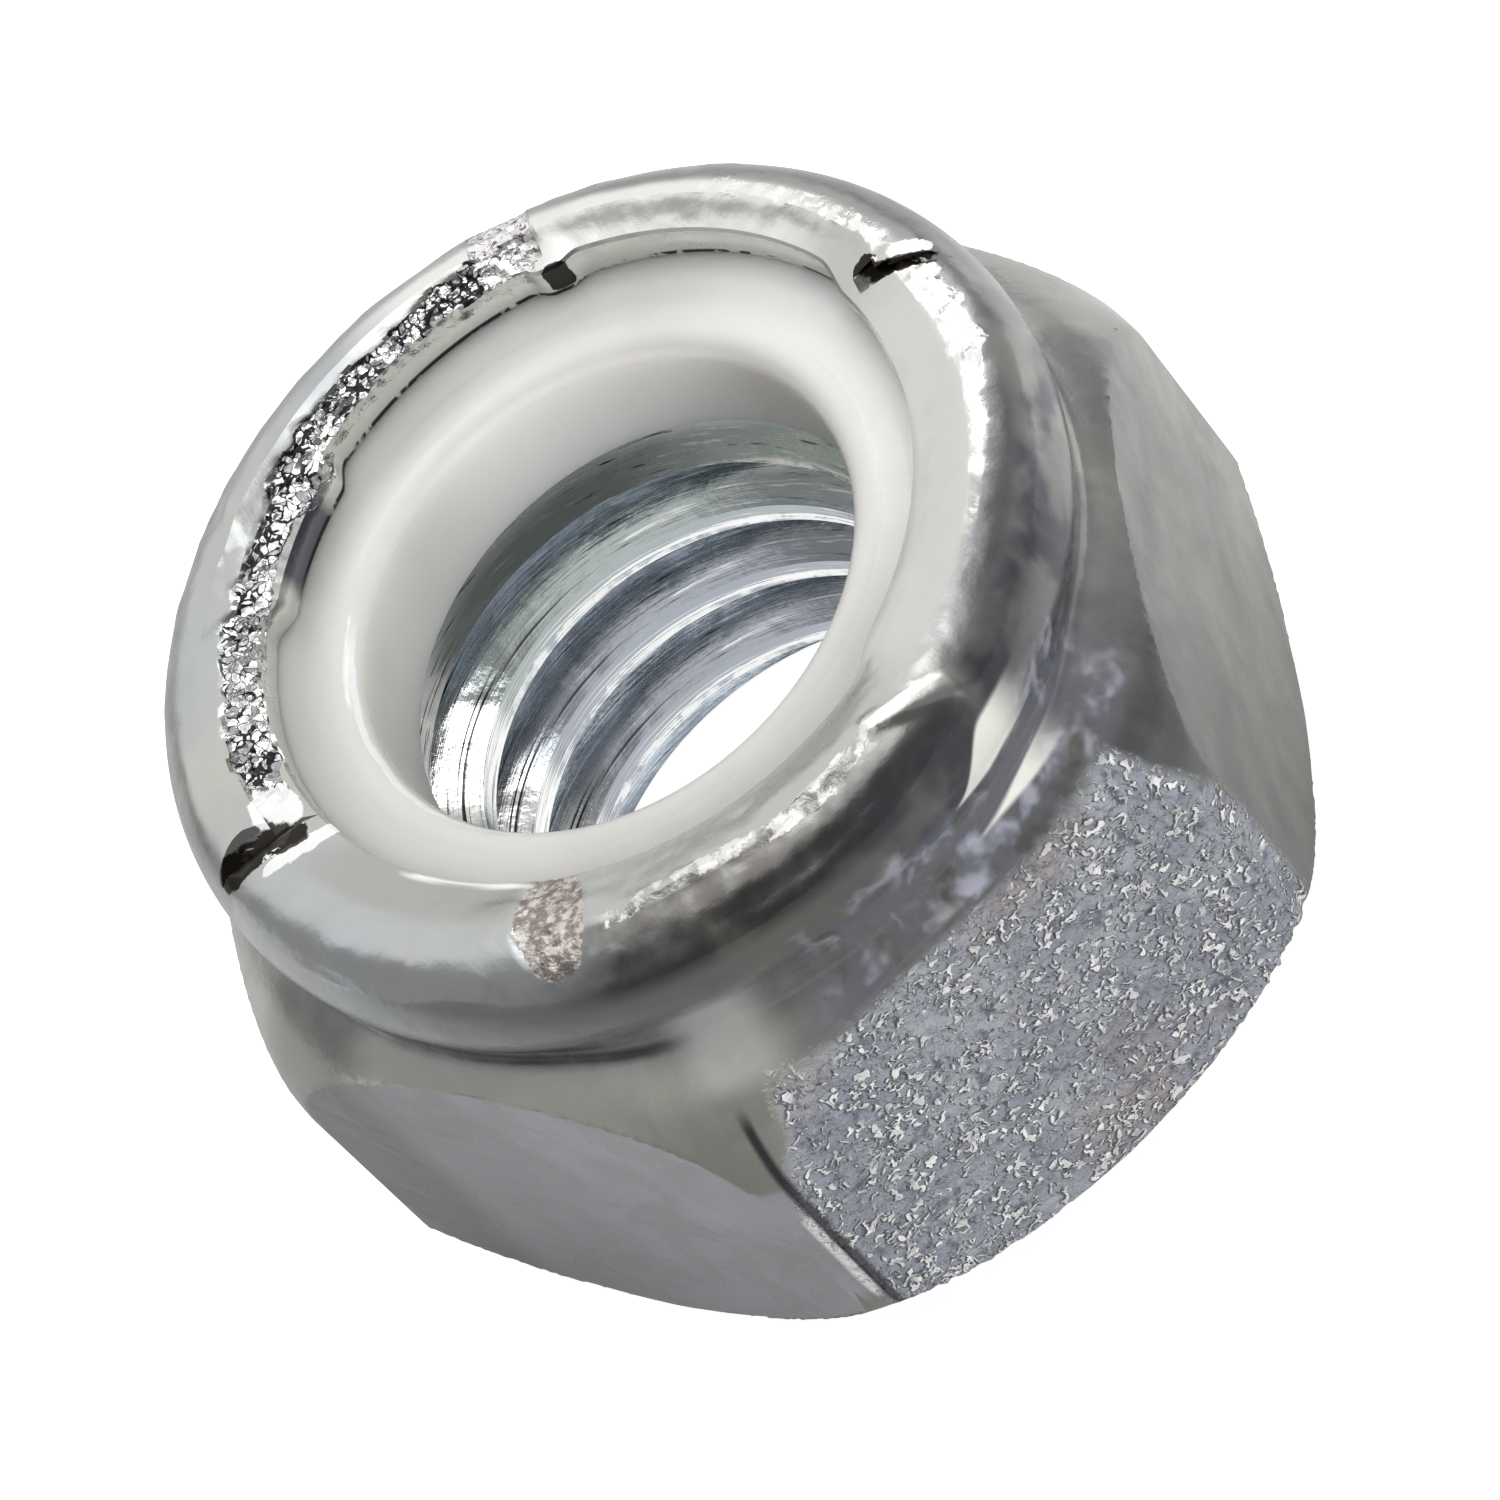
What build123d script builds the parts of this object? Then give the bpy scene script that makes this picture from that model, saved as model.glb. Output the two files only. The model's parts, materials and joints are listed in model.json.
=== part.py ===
"""Hexagonal lock nut with a ring of nylon crimped into its collar.

The nut is the inch size 5/16-18.  The frame has its origin at the centre of the bearing face,
with +Z along the thread axis towards the nylon, and the hexagon's corners start on the +X axis.
The thread itself is a plain bore here, at the diameter of the thread crests.
"""

import os
from math import cos, hypot, pi

from build123d import *

# Hexagon
ACROSS_FLATS = 12.70  # half-inch spanner size
SIDES = 6
CORNER_ROUNDING = 0.11  # how far the forged corners stop short of sharp ones, as a radius
HEIGHT = 8.40  # bearing face to the crest of the lip

# Bearing end: the forged crown between the bearing face and the corners
BEARING_DIAMETER = 12.00
BEARING_CROWN_HEIGHT = 1.36
BEARING_CROWN_BULGE = 0.08  # sagitta of the crown's arc

# Collar end: the forged crown between the corners and the neck
CORNER_TOP = 4.20
SHOULDER_CROWN_BULGE = 0.36  # sagitta of the crown's arc
NECK_BASE = 6.40
NECK_INSET = 0.21  # collar's widest radius to the neck
NECK_HEIGHT = 0.30
NECK_BLEND = 0.24

# Collar, rolled over the insert
COLLAR_WALL = 1.16  # pocket to the collar's widest radius
COLLAR_WIDEST_HEIGHT = 7.30
SHOULDER_DROP = 0.56  # crest to the start of the rolled shoulder
SHOULDER_INSET = 0.06  # collar's widest radius to the shoulder's start
CREST_INSET = 0.85  # collar's widest radius to the crest
LIP_REACH = 0.63  # how far the lip stands in over the pocket
LIP_FALL = 0.37  # crest down to the lip's inner edge
LIP_EDGE_THICKNESS = 0.32

# Crimp marks: dents across the crest, unevenly spaced, each pushing the lip's edge inwards
MARK_ANGLES = (-1.0, 70.0, 125.0, 180.0, 226.0, 289.0)
MARK_RADIUS = 0.80
MARK_DEPTH = 0.30
MARK_TILT = 12.0  # degrees, down towards the outside
TONGUE_REACH = 0.22
TONGUE_RADIUS = 0.90
TONGUE_BLEND = 0.50

# Bore
THREAD_CREST_DIAMETER = 6.60
ENTRY_DIAMETER = 8.38  # 45 degree countersink in the bearing face
RUNOUT_DIAMETER = 8.00  # 45 degree countersink under the insert

# Nylon insert and the pocket that it fills
POCKET_DIAMETER = 10.00
POCKET_FLOOR = 5.90
INSERT_CLEARANCE = 0.02
INSERT_BORE_DIAMETER = 6.82
INSERT_RIM_ROUNDING = 0.28
INSERT_EDGE_CHAMFER = 0.18

APOTHEM = ACROSS_FLATS / 2
CORNER_RADIUS = APOTHEM / cos(pi / SIDES) - CORNER_ROUNDING
COLLAR_RADIUS = POCKET_DIAMETER / 2 + COLLAR_WALL
NECK_RADIUS = COLLAR_RADIUS - NECK_INSET
CREST_RADIUS = COLLAR_RADIUS - CREST_INSET
LIP_RADIUS = POCKET_DIAMETER / 2 - LIP_REACH
LIP_EDGE_TOP = HEIGHT - LIP_FALL
LIP_UNDERSIDE = LIP_EDGE_TOP - LIP_EDGE_THICKNESS
OVERRUN = 1.0  # how far cutting tools pass beyond the metal
TOUCH = 0.001  # two lengths closer than this are the same


def bulged(start, end, sagitta):
    """Arc from start to end that stands out to the right of the way from start to end."""
    across, up = end[0] - start[0], end[1] - start[1]
    span = hypot(across, up)
    middle = (
        (start[0] + end[0]) / 2 + sagitta * up / span,
        (start[1] + end[1]) / 2 - sagitta * across / span,
    )
    return ThreePointArc(start, middle, end)


def turned(outline):
    """Solid of revolution about Z of a closed outline drawn as radius and height."""
    return revolve(Plane.XZ * make_face(outline), Axis.Z)


def hexagon_block():
    """Hexagonal prism whose corners run out into a crown at each end."""
    bearing = (BEARING_DIAMETER / 2, 0)
    corner_low = (CORNER_RADIUS, BEARING_CROWN_HEIGHT)
    corner_high = (CORNER_RADIUS, CORNER_TOP)
    neck = (NECK_RADIUS, NECK_BASE)
    outline = [
        Line((0, 0), bearing),
        bulged(bearing, corner_low, BEARING_CROWN_BULGE),
        Line(corner_low, corner_high),
        bulged(corner_high, neck, SHOULDER_CROWN_BULGE),
        Line(neck, (0, NECK_BASE)),
        Line((0, NECK_BASE), (0, 0)),
    ]
    prism = extrude(RegularPolygon(APOTHEM, SIDES, major_radius=False), NECK_BASE)
    return turned(outline) & prism


def collar():
    """Neck, barrelled wall, rolled shoulder and the lip that reaches in over the insert."""
    inner = LIP_RADIUS - TONGUE_REACH
    foot = (NECK_RADIUS, POCKET_FLOOR)
    neck_top = (NECK_RADIUS, NECK_BASE + NECK_HEIGHT)
    shoulder = (COLLAR_RADIUS - SHOULDER_INSET, HEIGHT - SHOULDER_DROP)
    crest = (CREST_RADIUS, HEIGHT)
    lip_slope = LIP_FALL / (CREST_RADIUS - LIP_RADIUS)
    lip_edge = (inner, HEIGHT - lip_slope * (CREST_RADIUS - inner))
    wall = ThreePointArc(neck_top, (COLLAR_RADIUS, COLLAR_WIDEST_HEIGHT), shoulder)
    roll = TangentArc(shoulder, crest, tangent=wall % 1)
    outline = [
        Line((inner, POCKET_FLOOR), foot),
        Line(foot, neck_top),
        wall,
        roll,
        Line(crest, lip_edge),
        Line(lip_edge, (inner, POCKET_FLOOR)),
    ]
    return turned(outline)


def at_marks(shape):
    """Copies of a shape made for a mark on the +X side, one turned to each crimp mark."""
    return [Rot(0, 0, angle) * shape for angle in MARK_ANGLES]


def lip_opening():
    """Mouth of the lip: a circle with a tongue of metal pushed into it under each crimp mark."""
    tongue_centre = LIP_RADIUS - TONGUE_REACH + TONGUE_RADIUS
    mouth = Circle(LIP_RADIUS)
    mouth -= at_marks(Pos(tongue_centre, 0, 0) * Circle(TONGUE_RADIUS))
    mouth = fillet(mouth.vertices(), TONGUE_BLEND)
    return Pos(0, 0, POCKET_FLOOR) * extrude(mouth, HEIGHT - POCKET_FLOOR + OVERRUN)


def crimp_mark():
    """Round tool that lies across the crest on the +X side and dents it."""
    tool = Cylinder(MARK_RADIUS, COLLAR_RADIUS, rotation=(0, 90 + MARK_TILT, 0))
    return Pos(CREST_RADIUS, 0, HEIGHT - MARK_DEPTH + MARK_RADIUS) * tool


def bore():
    """Thread crest bore with a countersink at each end, and the pocket above it."""
    crest = THREAD_CREST_DIAMETER / 2
    entry_depth = ENTRY_DIAMETER / 2 - crest
    runout_depth = RUNOUT_DIAMETER / 2 - crest
    pocket_radius = POCKET_DIAMETER / 2
    outline = Polyline(
        (0, -OVERRUN),
        (ENTRY_DIAMETER / 2 + OVERRUN, -OVERRUN),
        (crest, entry_depth),
        (crest, POCKET_FLOOR - runout_depth),
        (RUNOUT_DIAMETER / 2, POCKET_FLOOR),
        (pocket_radius, POCKET_FLOOR),
        (pocket_radius, LIP_UNDERSIDE),
        (0, LIP_UNDERSIDE),
        close=True,
    )
    return turned(outline)


def is_neck_ring(edge):
    """True for the two circles where the neck meets the crown and the collar's wall."""
    centre = edge.center(CenterOf.BOUNDING_BOX)
    on_neck = NECK_BASE - TOUCH < centre.Z < NECK_BASE + NECK_HEIGHT + TOUCH
    return edge.geom_type == GeomType.CIRCLE and on_neck and hypot(centre.X, centre.Y) < TOUCH


def nut_body():
    """The steel nut, forged in one piece with its collar."""
    body = hexagon_block() + collar()
    neck_rings = body.edges().filter_by(is_neck_ring)
    body = fillet(neck_rings, NECK_BLEND)
    body -= bore()
    body -= lip_opening()
    body -= at_marks(crimp_mark())
    return body


def nylon_insert():
    """Ring that fills the pocket from its floor to the underside of the lip."""
    outer = POCKET_DIAMETER / 2 - INSERT_CLEARANCE
    inner = INSERT_BORE_DIAMETER / 2
    height = LIP_UNDERSIDE - POCKET_FLOOR
    ring = Cylinder(outer, height, align=(Align.CENTER, Align.CENTER, Align.MIN))
    ring -= Cylinder(inner, height, align=(Align.CENTER, Align.CENTER, Align.MIN))
    edges = ring.edges().filter_by(GeomType.CIRCLE).group_by(SortBy.RADIUS)
    rims = edges[0].sort_by(Axis.Z)
    ring = fillet(rims[-1], INSERT_RIM_ROUNDING)
    lower = ring.edges().filter_by(GeomType.CIRCLE).group_by(Axis.Z)[0]
    pocket_ledge = (POCKET_DIAMETER - RUNOUT_DIAMETER) / 2
    ring = chamfer(lower, min(INSERT_EDGE_CHAMFER, pocket_ledge / 2))
    return Pos(0, 0, POCKET_FLOOR) * ring


os.makedirs("parts", exist_ok=True)
for name, make in {"nut_body": nut_body, "nylon_insert": nylon_insert}.items():
    solid = make()
    solid.label = name
    export_step(solid, f"parts/{name}.step")
    size = solid.bounding_box().size
    print(f"{name}: {size.X:.2f} x {size.Y:.2f} x {size.Z:.2f} mm, {solid.volume:.1f} mm3")
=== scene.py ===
# %% [markdown]
# # A hexagonal lock nut with a nylon ring
#
# The nut is two pieces.  The steel body is forged in one go: a hexagon, a round collar above it and a lip that is
# rolled inwards over the nylon.  The nylon ring lies under that lip and grips the bolt.  Both pieces are made here
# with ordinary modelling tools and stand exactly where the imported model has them.

import json
import math

import bpy
import numpy as np
from mathutils import Matrix, Vector, noise

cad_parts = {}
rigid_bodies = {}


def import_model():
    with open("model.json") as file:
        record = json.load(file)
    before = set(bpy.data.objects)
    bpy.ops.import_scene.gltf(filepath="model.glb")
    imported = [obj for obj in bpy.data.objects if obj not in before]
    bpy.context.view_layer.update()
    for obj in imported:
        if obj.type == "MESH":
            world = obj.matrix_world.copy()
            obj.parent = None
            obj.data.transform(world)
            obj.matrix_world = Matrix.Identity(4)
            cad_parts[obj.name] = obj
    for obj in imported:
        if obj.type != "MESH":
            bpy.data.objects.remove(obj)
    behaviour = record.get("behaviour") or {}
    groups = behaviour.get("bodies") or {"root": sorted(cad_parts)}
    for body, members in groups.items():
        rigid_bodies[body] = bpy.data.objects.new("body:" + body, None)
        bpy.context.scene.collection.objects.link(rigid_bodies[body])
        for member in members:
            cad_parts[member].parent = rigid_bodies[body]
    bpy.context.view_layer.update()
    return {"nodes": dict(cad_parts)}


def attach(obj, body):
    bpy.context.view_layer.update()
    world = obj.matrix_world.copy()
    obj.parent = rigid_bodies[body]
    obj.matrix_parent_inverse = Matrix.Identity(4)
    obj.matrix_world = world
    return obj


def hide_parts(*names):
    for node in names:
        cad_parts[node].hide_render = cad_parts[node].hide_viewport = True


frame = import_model()
print("packed nodes:", sorted(frame["nodes"]))

# %% [markdown]
# ## Sizes
#
# Everything is written in millimetres and turned into metres where an operator needs it, because Blender's unit is
# the metre and a nut is only fourteen thousandths of one.  The sizes are those of a 5/16-18 nut.  The height of zero
# is the bearing face, and the nylon is at the top.

# %% Sizes in millimetres
MM = 0.001
APOTHEM = 6.35
CORNER_RADIUS = 7.222
BEARING_RADIUS = 6.0
BEARING_CROWN_HEIGHT = 1.36
CORNER_TOP = 4.20
NECK_RADIUS = 5.95
NECK_BASE = 6.40
SHOULDER_RADIUS = 6.10
SHOULDER_HEIGHT = 7.84
CREST_RADIUS = 5.31
HEIGHT = 8.40
MOUTH_RADIUS = 4.62
MOUTH_TOP = 8.13
LIP_UNDERSIDE = 7.72
POCKET_RADIUS = 5.00
POCKET_FLOOR = 5.90
RUNOUT_RADIUS = 4.00
THREAD_CREST = 3.30
ENTRY_RADIUS = 4.19
PITCH = 25.4 / 18
THREAD_ROOT = 3.97
INSERT_BORE = 3.41
INSERT_RADIUS = 4.98
print(f"pitch {PITCH:.3f} mm, {2 * APOTHEM:.2f} mm across the flats, {HEIGHT:.2f} mm high")


# %% [markdown]
# ## Drawing an outline and turning it
#
# Both pieces are turned shapes, like work from a lathe.  A polygon primitive would give far too few points in the
# small roundings, so the outline is drawn instead: one vertex is extruded from corner to corner in the XZ plane, and
# Spin sweeps it round Z.  An arc is drawn with a few short steps, worked out from its two ends and how far it bulges.

# %% Helpers for outlines
def arc(start, end, bulge, steps):
    """Points of an arc from start to end, without start, that bulges to the right of its way by that much."""
    (r0, z0), (r1, z1) = start, end
    span = math.hypot(r1 - r0, z1 - z0)
    along = ((r1 - r0) / span, (z1 - z0) / span)
    side = math.copysign(1, bulge)
    out = (side * along[1], -side * along[0])
    radius = (span * span / 4 + bulge * bulge) / (2 * abs(bulge))
    half = math.asin(min(1, span / 2 / radius))
    if abs(bulge) > radius:
        half = math.pi - half
    drop = abs(bulge) - radius
    centre = ((r0 + r1) / 2 + out[0] * drop, (z0 + z1) / 2 + out[1] * drop)
    points = []
    for i in range(1, steps + 1):
        t = half * (2 * i / steps - 1)
        c, s = math.cos(t) * radius, math.sin(t) * radius
        points.append((centre[0] + out[0] * c + along[0] * s, centre[1] + out[1] * c + along[1] * s))
    return points


def straight(start, end, steps):
    """Points of a straight run from start to end, without start."""
    return [tuple(a + (b - a) * i / steps for a, b in zip(start, end)) for i in range(1, steps + 1)]


def draw_outline(name, points):
    """New object whose mesh is a closed chain of edges through these radius and height points."""
    bpy.ops.object.select_all(action="DESELECT")
    bpy.ops.mesh.primitive_plane_add(size=1)
    piece = bpy.context.active_object
    piece.name = piece.data.name = name
    bpy.ops.object.mode_set(mode="EDIT")
    bpy.ops.mesh.select_all(action="SELECT")
    bpy.ops.mesh.merge(type="CENTER")
    bpy.ops.transform.translate(value=(points[0][0], 0, points[0][1]))
    for (r0, z0), (r1, z1) in zip(points, points[1:]):
        step = (r1 - r0, 0, z1 - z0)
        bpy.ops.mesh.extrude_region_move(TRANSFORM_OT_translate={"value": step})
    bpy.ops.mesh.select_all(action="SELECT")
    bpy.ops.mesh.remove_doubles(threshold=1e-4)
    bpy.ops.object.mode_set(mode="OBJECT")
    return piece


def turn(piece, steps):
    """Sweeps the outline once round Z and leaves a closed skin that faces outwards."""
    bpy.context.view_layer.objects.active = piece
    bpy.ops.object.mode_set(mode="EDIT")
    bpy.ops.mesh.select_all(action="SELECT")
    bpy.ops.mesh.spin(steps=steps, angle=math.tau, center=(0, 0, 0), axis=(0, 0, 1), use_auto_merge=True)
    bpy.ops.mesh.select_all(action="SELECT")
    bpy.ops.mesh.normals_make_consistent(inside=False)
    bpy.ops.object.mode_set(mode="OBJECT")
    print(f"{piece.name}: {len(piece.data.polygons)} faces after turning")


def open_ends(piece):
    """Number of edges that don't join exactly two faces."""
    used = {}
    for polygon in piece.data.polygons:
        for key in polygon.edge_keys:
            used[key] = used.get(key, 0) + 1
    return sum(1 for n in used.values() if n != 2)


# %% Helpers for choosing and moving points
def lay_of(piece):
    """Azimuth in degrees, and radius and height in millimetres, of each vertex."""
    flat = np.empty(len(piece.data.vertices) * 3)
    piece.data.vertices.foreach_get("co", flat)
    x, y, z = flat.reshape(-1, 3).T
    return np.degrees(np.arctan2(y, x)), np.hypot(x, y), z


def from_mark(azimuth, middle):
    """Signed angle from middle to azimuth, in degrees."""
    return (azimuth - middle + 180) % 360 - 180


def pick(piece, chosen):
    """Edit mode with only these vertices selected."""
    bpy.context.view_layer.objects.active = piece
    bpy.ops.object.mode_set(mode="EDIT")
    bpy.ops.mesh.select_mode(type="VERT")
    bpy.ops.mesh.select_all(action="DESELECT")
    bpy.ops.object.mode_set(mode="OBJECT")
    piece.data.vertices.foreach_set("select", chosen)
    bpy.ops.object.mode_set(mode="EDIT")


def push(piece, chosen, move, reach, still):
    """Moves the chosen vertices, and the skin round them with a soft reach, but not the still ones; in millimetres."""
    pick(piece, still)
    bpy.ops.mesh.hide(unselected=False)
    bpy.ops.object.mode_set(mode="OBJECT")
    pick(piece, chosen)
    bpy.ops.transform.translate(
        value=move,
        use_proportional_edit=True,
        proportional_edit_falloff="SMOOTH",
        proportional_size=reach,
    )
    bpy.ops.mesh.reveal(select=False)
    bpy.ops.object.mode_set(mode="OBJECT")


def outward(azimuth, distance, lift):
    """A move of this distance away from the axis, and this lift."""
    angle = math.radians(azimuth)
    return (distance * math.cos(angle), distance * math.sin(angle), lift)


# %% [markdown]
# ## The blank of the steel body
#
# On the real nut the blank is a forged slug with a round crown at each end of its corners.  Here one outline holds
# the bearing face, both crowns, the neck, the barrel-shaped collar, the rolled lip and the pocket for the nylon.
# The lip and the wall get short steps, because they are dented later and the dents need points to move.

# %% Turned blank
STEPS = 600
blank_outline = (
    [(THREAD_CREST, ENTRY_RADIUS - THREAD_CREST), (ENTRY_RADIUS, 0), (BEARING_RADIUS, 0)]
    + arc((BEARING_RADIUS, 0), (CORNER_RADIUS, BEARING_CROWN_HEIGHT), 0.08, 8)
    + [(CORNER_RADIUS, CORNER_TOP)]
    + arc((CORNER_RADIUS, CORNER_TOP), (6.076, 6.332), 0.324, 24)
    + arc((6.076, 6.332), (NECK_RADIUS, 6.543), -0.034, 5)
    + [(NECK_RADIUS, 6.628)]
    + arc((NECK_RADIUS, 6.628), (5.989, 6.760), -0.010, 3)
    + arc((5.989, 6.760), (SHOULDER_RADIUS, SHOULDER_HEIGHT), 0.116, 14)
    + arc((SHOULDER_RADIUS, SHOULDER_HEIGHT), (CREST_RADIUS, HEIGHT), 0.154, 18)
    + straight((CREST_RADIUS, HEIGHT), (MOUTH_RADIUS + 0.04, MOUTH_TOP + 0.015), 13)
    + [(MOUTH_RADIUS, MOUTH_TOP - 0.03)]
    + straight((MOUTH_RADIUS, MOUTH_TOP - 0.03), (MOUTH_RADIUS, LIP_UNDERSIDE), 6)
    + [(POCKET_RADIUS, LIP_UNDERSIDE), (POCKET_RADIUS, POCKET_FLOOR), (RUNOUT_RADIUS, POCKET_FLOOR)]
    + [(THREAD_CREST, POCKET_FLOOR + THREAD_CREST - RUNOUT_RADIUS)]
    + [(THREAD_CREST, ENTRY_RADIUS - THREAD_CREST)]
)
body = draw_outline("steel_body", blank_outline)
turn(body, STEPS)
print("open edges:", open_ends(body))

# %% [markdown]
# ## The mouth of the lip
#
# The lip is rolled over by a tool that never runs quite true, so its mouth isn't round and isn't in the middle: it
# is wide on one side and narrow on the other, and it has been pushed in under three of the marks.  In edit mode the
# whole rim of the mouth is taken sideways with proportional editing, and then small stretches of it are pushed.

# %% The mouth, out of true
def stretch_of_rim(middle, half, low=7.7, high=8.4):
    """The points of the mouth's rim within this sector and between these heights."""
    azimuth, radius, height = lay_of(body)
    return (abs(from_mark(azimuth, middle)) < half) & (height > low) & (height < high) & (radius < 5.0) & rim


azimuth, radius, height = lay_of(body)
rim = (height > 7.7) & (radius < MOUTH_RADIUS + 0.06)
underside = height < LIP_UNDERSIDE + 0.01
pocket = underside & (radius > POCKET_RADIUS - 0.01)
push(body, rim, outward(45, 0.27, 0), 0.85, still=pocket)
push(body, stretch_of_rim(45, 60, 7.9), (0, 0, 0.08), 0.7, still=underside)
push(body, stretch_of_rim(-135, 60, 7.9), (0, 0, -0.08), 0.7, still=underside)
push(body, stretch_of_rim(-30, 32), outward(-28, -0.21, 0), 0.9, still=pocket)
push(body, stretch_of_rim(121, 11, 7.7, 7.95), outward(121, -0.24, 0), 0.5, still=pocket)
push(body, stretch_of_rim(61, 1.5), outward(61, -0.14, 0), 0.35, still=pocket)

# %% [markdown]
# ## Crimp marks
#
# When the lip is rolled over, the tool's teeth strike it in six places that are not quite evenly spaced, and the
# marks are not alike.  Two are sharp chisel cuts, two are flat crushed patches, one is a burr and one a soft fold.
# The soft ones are dents, which a Displace modifier makes: a vertex group says how much each point takes part, so
# the group works like a sculptor's brush.  The sharp ones are cut with a wedge, because a dent would round off the
# very edges that catch the light.

# %% The dent brush
def step(value, low, high):
    """Goes smoothly from 0 to 1 while value goes from low to high."""
    t = np.clip((value - low) / (high - low), 0, 1)
    return t * t * (3 - 2 * t)


def hill(value, middle, half, soft):
    """1 within half of the middle, 0 beyond, with soft flanks."""
    return 1 - step(abs(value - middle), half - soft, half + soft)


def dent(piece, name, weights, rise, grain=None):
    """Moves points along their normals by rise millimetres times their weight, or by a cloud texture of this size."""
    group = piece.vertex_groups.new(name=name)
    for index in np.nonzero(weights > 0.004)[0]:
        group.add([int(index)], float(weights[index]), "REPLACE")
    lift = piece.modifiers.new(name, "DISPLACE")
    lift.vertex_group = name
    lift.strength = rise
    lift.mid_level = 0.0
    if grain:
        lift.texture = bpy.data.textures.new(name, "CLOUDS")
        lift.texture.noise_scale = grain
        lift.texture.noise_depth = 3
        lift.texture.contrast = 1.6
        lift.texture_coords = "LOCAL"
        lift.mid_level = 0.5
    bpy.context.view_layer.objects.active = piece
    bpy.ops.object.modifier_apply(modifier=name)
    piece.vertex_groups.clear()
    print(f"{name}: {int((weights > 0.004).sum())} points moved")


def unevenness(piece, size):
    """A value between about -1 and 1 at each vertex, from smooth noise with lumps of this size."""
    return np.array([noise.noise(vertex.co / size) for vertex in piece.data.vertices]) * 1.6


# %% The worn areas of the lip, and its areas of painted light and shade
def oval(lay, middle, centre, half_out, half_round, lean=0, square=2):
    """1 inside an oval on the lip whose centre lies at this azimuth and radius, and 0 outside; a lean turns it."""
    azimuth, radius, height = lay
    turned = np.radians(from_mark(azimuth, middle))
    out, around = radius * np.cos(turned) - centre, radius * np.sin(turned)
    c, s = math.cos(math.radians(lean)), math.sin(math.radians(lean))
    out, around = c * out + s * around, c * around - s * out
    return 1 - step(abs(out / half_out) ** square + abs(around / half_round) ** square, 0.55, 1.45)


def lip_areas(piece):
    """How much each point takes part in each worn area of the lip, and in each area of painted highlights, shade and
    reflections.
    """
    lay = azimuth, radius, height = lay_of(piece)
    ragged = unevenness(piece, 0.35)
    on_lip = step(height, 7.96, 8.04) * (radius > 4.2)
    past_f = from_mark(azimuth, 119)
    band_middle = np.interp(past_f, [-46, -20, 0, 25, 46, 60], [5.02, 4.90, 4.80, 4.78, 4.80, 4.84])
    band_half = np.interp(past_f, [-46, -28, -8, 0, 22, 46, 60], [0.24, 0.20, 0.33, 0.19, 0.26, 0.24, 0.16])
    band = hill((radius - band_middle) / (band_half * (1 + 0.25 * ragged)), 0, 1.0, 0.2)
    away = from_mark(azimuth, -99)
    row = 5.30 + 0.10 * np.sin(np.radians(away * 9)) + 0.05 * ragged
    beside_left_cut = oval(lay, -177.3, 4.86, 0.62, 0.13, 4, 2.5)
    along_right_cut = oval(lay, -1.8, 5.44, 0.44, 0.13, -28, 3)
    right_slope_light_reflection = 0.4 * hill(azimuth, -36, 34, 8) * hill(radius, 4.95, 0.42, 0.10)
    far_arc_dark_reflection = hill(azimuth, 96, 84, 10) * hill(radius, 6.00, 0.28, 0.10)
    right_arc_dark_reflection = hill(azimuth, 28, 30, 10) * hill(radius, 5.92, 0.35, 0.07)
    # Besides real wear, these say where highlights, shade and reflections are painted on the lip.
    return {
        "band": band * hill(azimuth % 360, 121, 51, 1.5) * on_lip,
        "crushed": oval(lay, 66.6, 5.40, 0.60, 0.43, 8, 4) * on_lip,
        "worn": oval(lay, -129.6, 5.10, 0.80, 0.45, 14, 2.5) * on_lip,
        "row": hill(away, 0, 22, 4) * hill(radius, row + 0.05, 0.11, 0.09) * on_lip,
        "swath": hill(azimuth, -14, 10, 3) * hill(radius + 0.08 * ragged, 5.55, 0.14, 0.07) * on_lip,
        "gleam": hill(azimuth, -32, 9, 6) * hill(radius, 5.58, 0.05, 0.06) * on_lip,
        "crest_dark_reflection": hill(azimuth, -43, 17, 6) * hill(radius, 5.66, 0.21, 0.10) * on_lip,
        "mouth_glint": oval(lay, -147, 4.37, 0.07, 0.95) * step(height, 7.9, 7.98),
        "notch_shade": oval(lay, 59.6, 4.70, 0.12, 0.22) * step(height, 7.75, 7.85),
        "glints": hill(azimuth, 19, 17, 4) * hill(radius + 0.05 * ragged, 5.46, 0.12, 0.08) * on_lip,
        "left_pit_shade": oval(lay, 178.4, 5.30, 0.66, 0.29, -8, 2.5) * on_lip,
        "left_highlight": np.maximum(beside_left_cut, oval(lay, 173.6, 4.84, 0.30, 0.46, -12)) * on_lip,
        "right_pit_shade": np.maximum(oval(lay, 2.0, 5.05, 0.20, 0.22, 0, 2.5), along_right_cut) * on_lip,
        "right_highlight": oval(lay, -0.1, 5.60, 0.27, 0.15, -28, 2.5) * on_lip,
        "far_slope_light_reflection": np.maximum(hill(azimuth, 52, 36, 8) * hill(radius, 5.15, 0.45, 0.12), right_slope_light_reflection) * on_lip,
        "far_shoulder_dark_reflection": np.maximum(far_arc_dark_reflection, right_arc_dark_reflection) * step(height, 7.4, 7.5),
        "near_slope_dark_reflection": hill(azimuth, -154, 19, 4) * hill(radius, 4.72, 0.36, 0.12) * on_lip,
        "shoulder_dark_reflection": hill(azimuth, -104, 23, 7) * hill(radius, 5.82, 0.44, 0.04) * step(height, 7.6, 7.9),
    }


areas = lip_areas(body)
print("worn areas:", {name: int((weights > 0.5).sum()) for name, weights in areas.items()})

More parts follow.
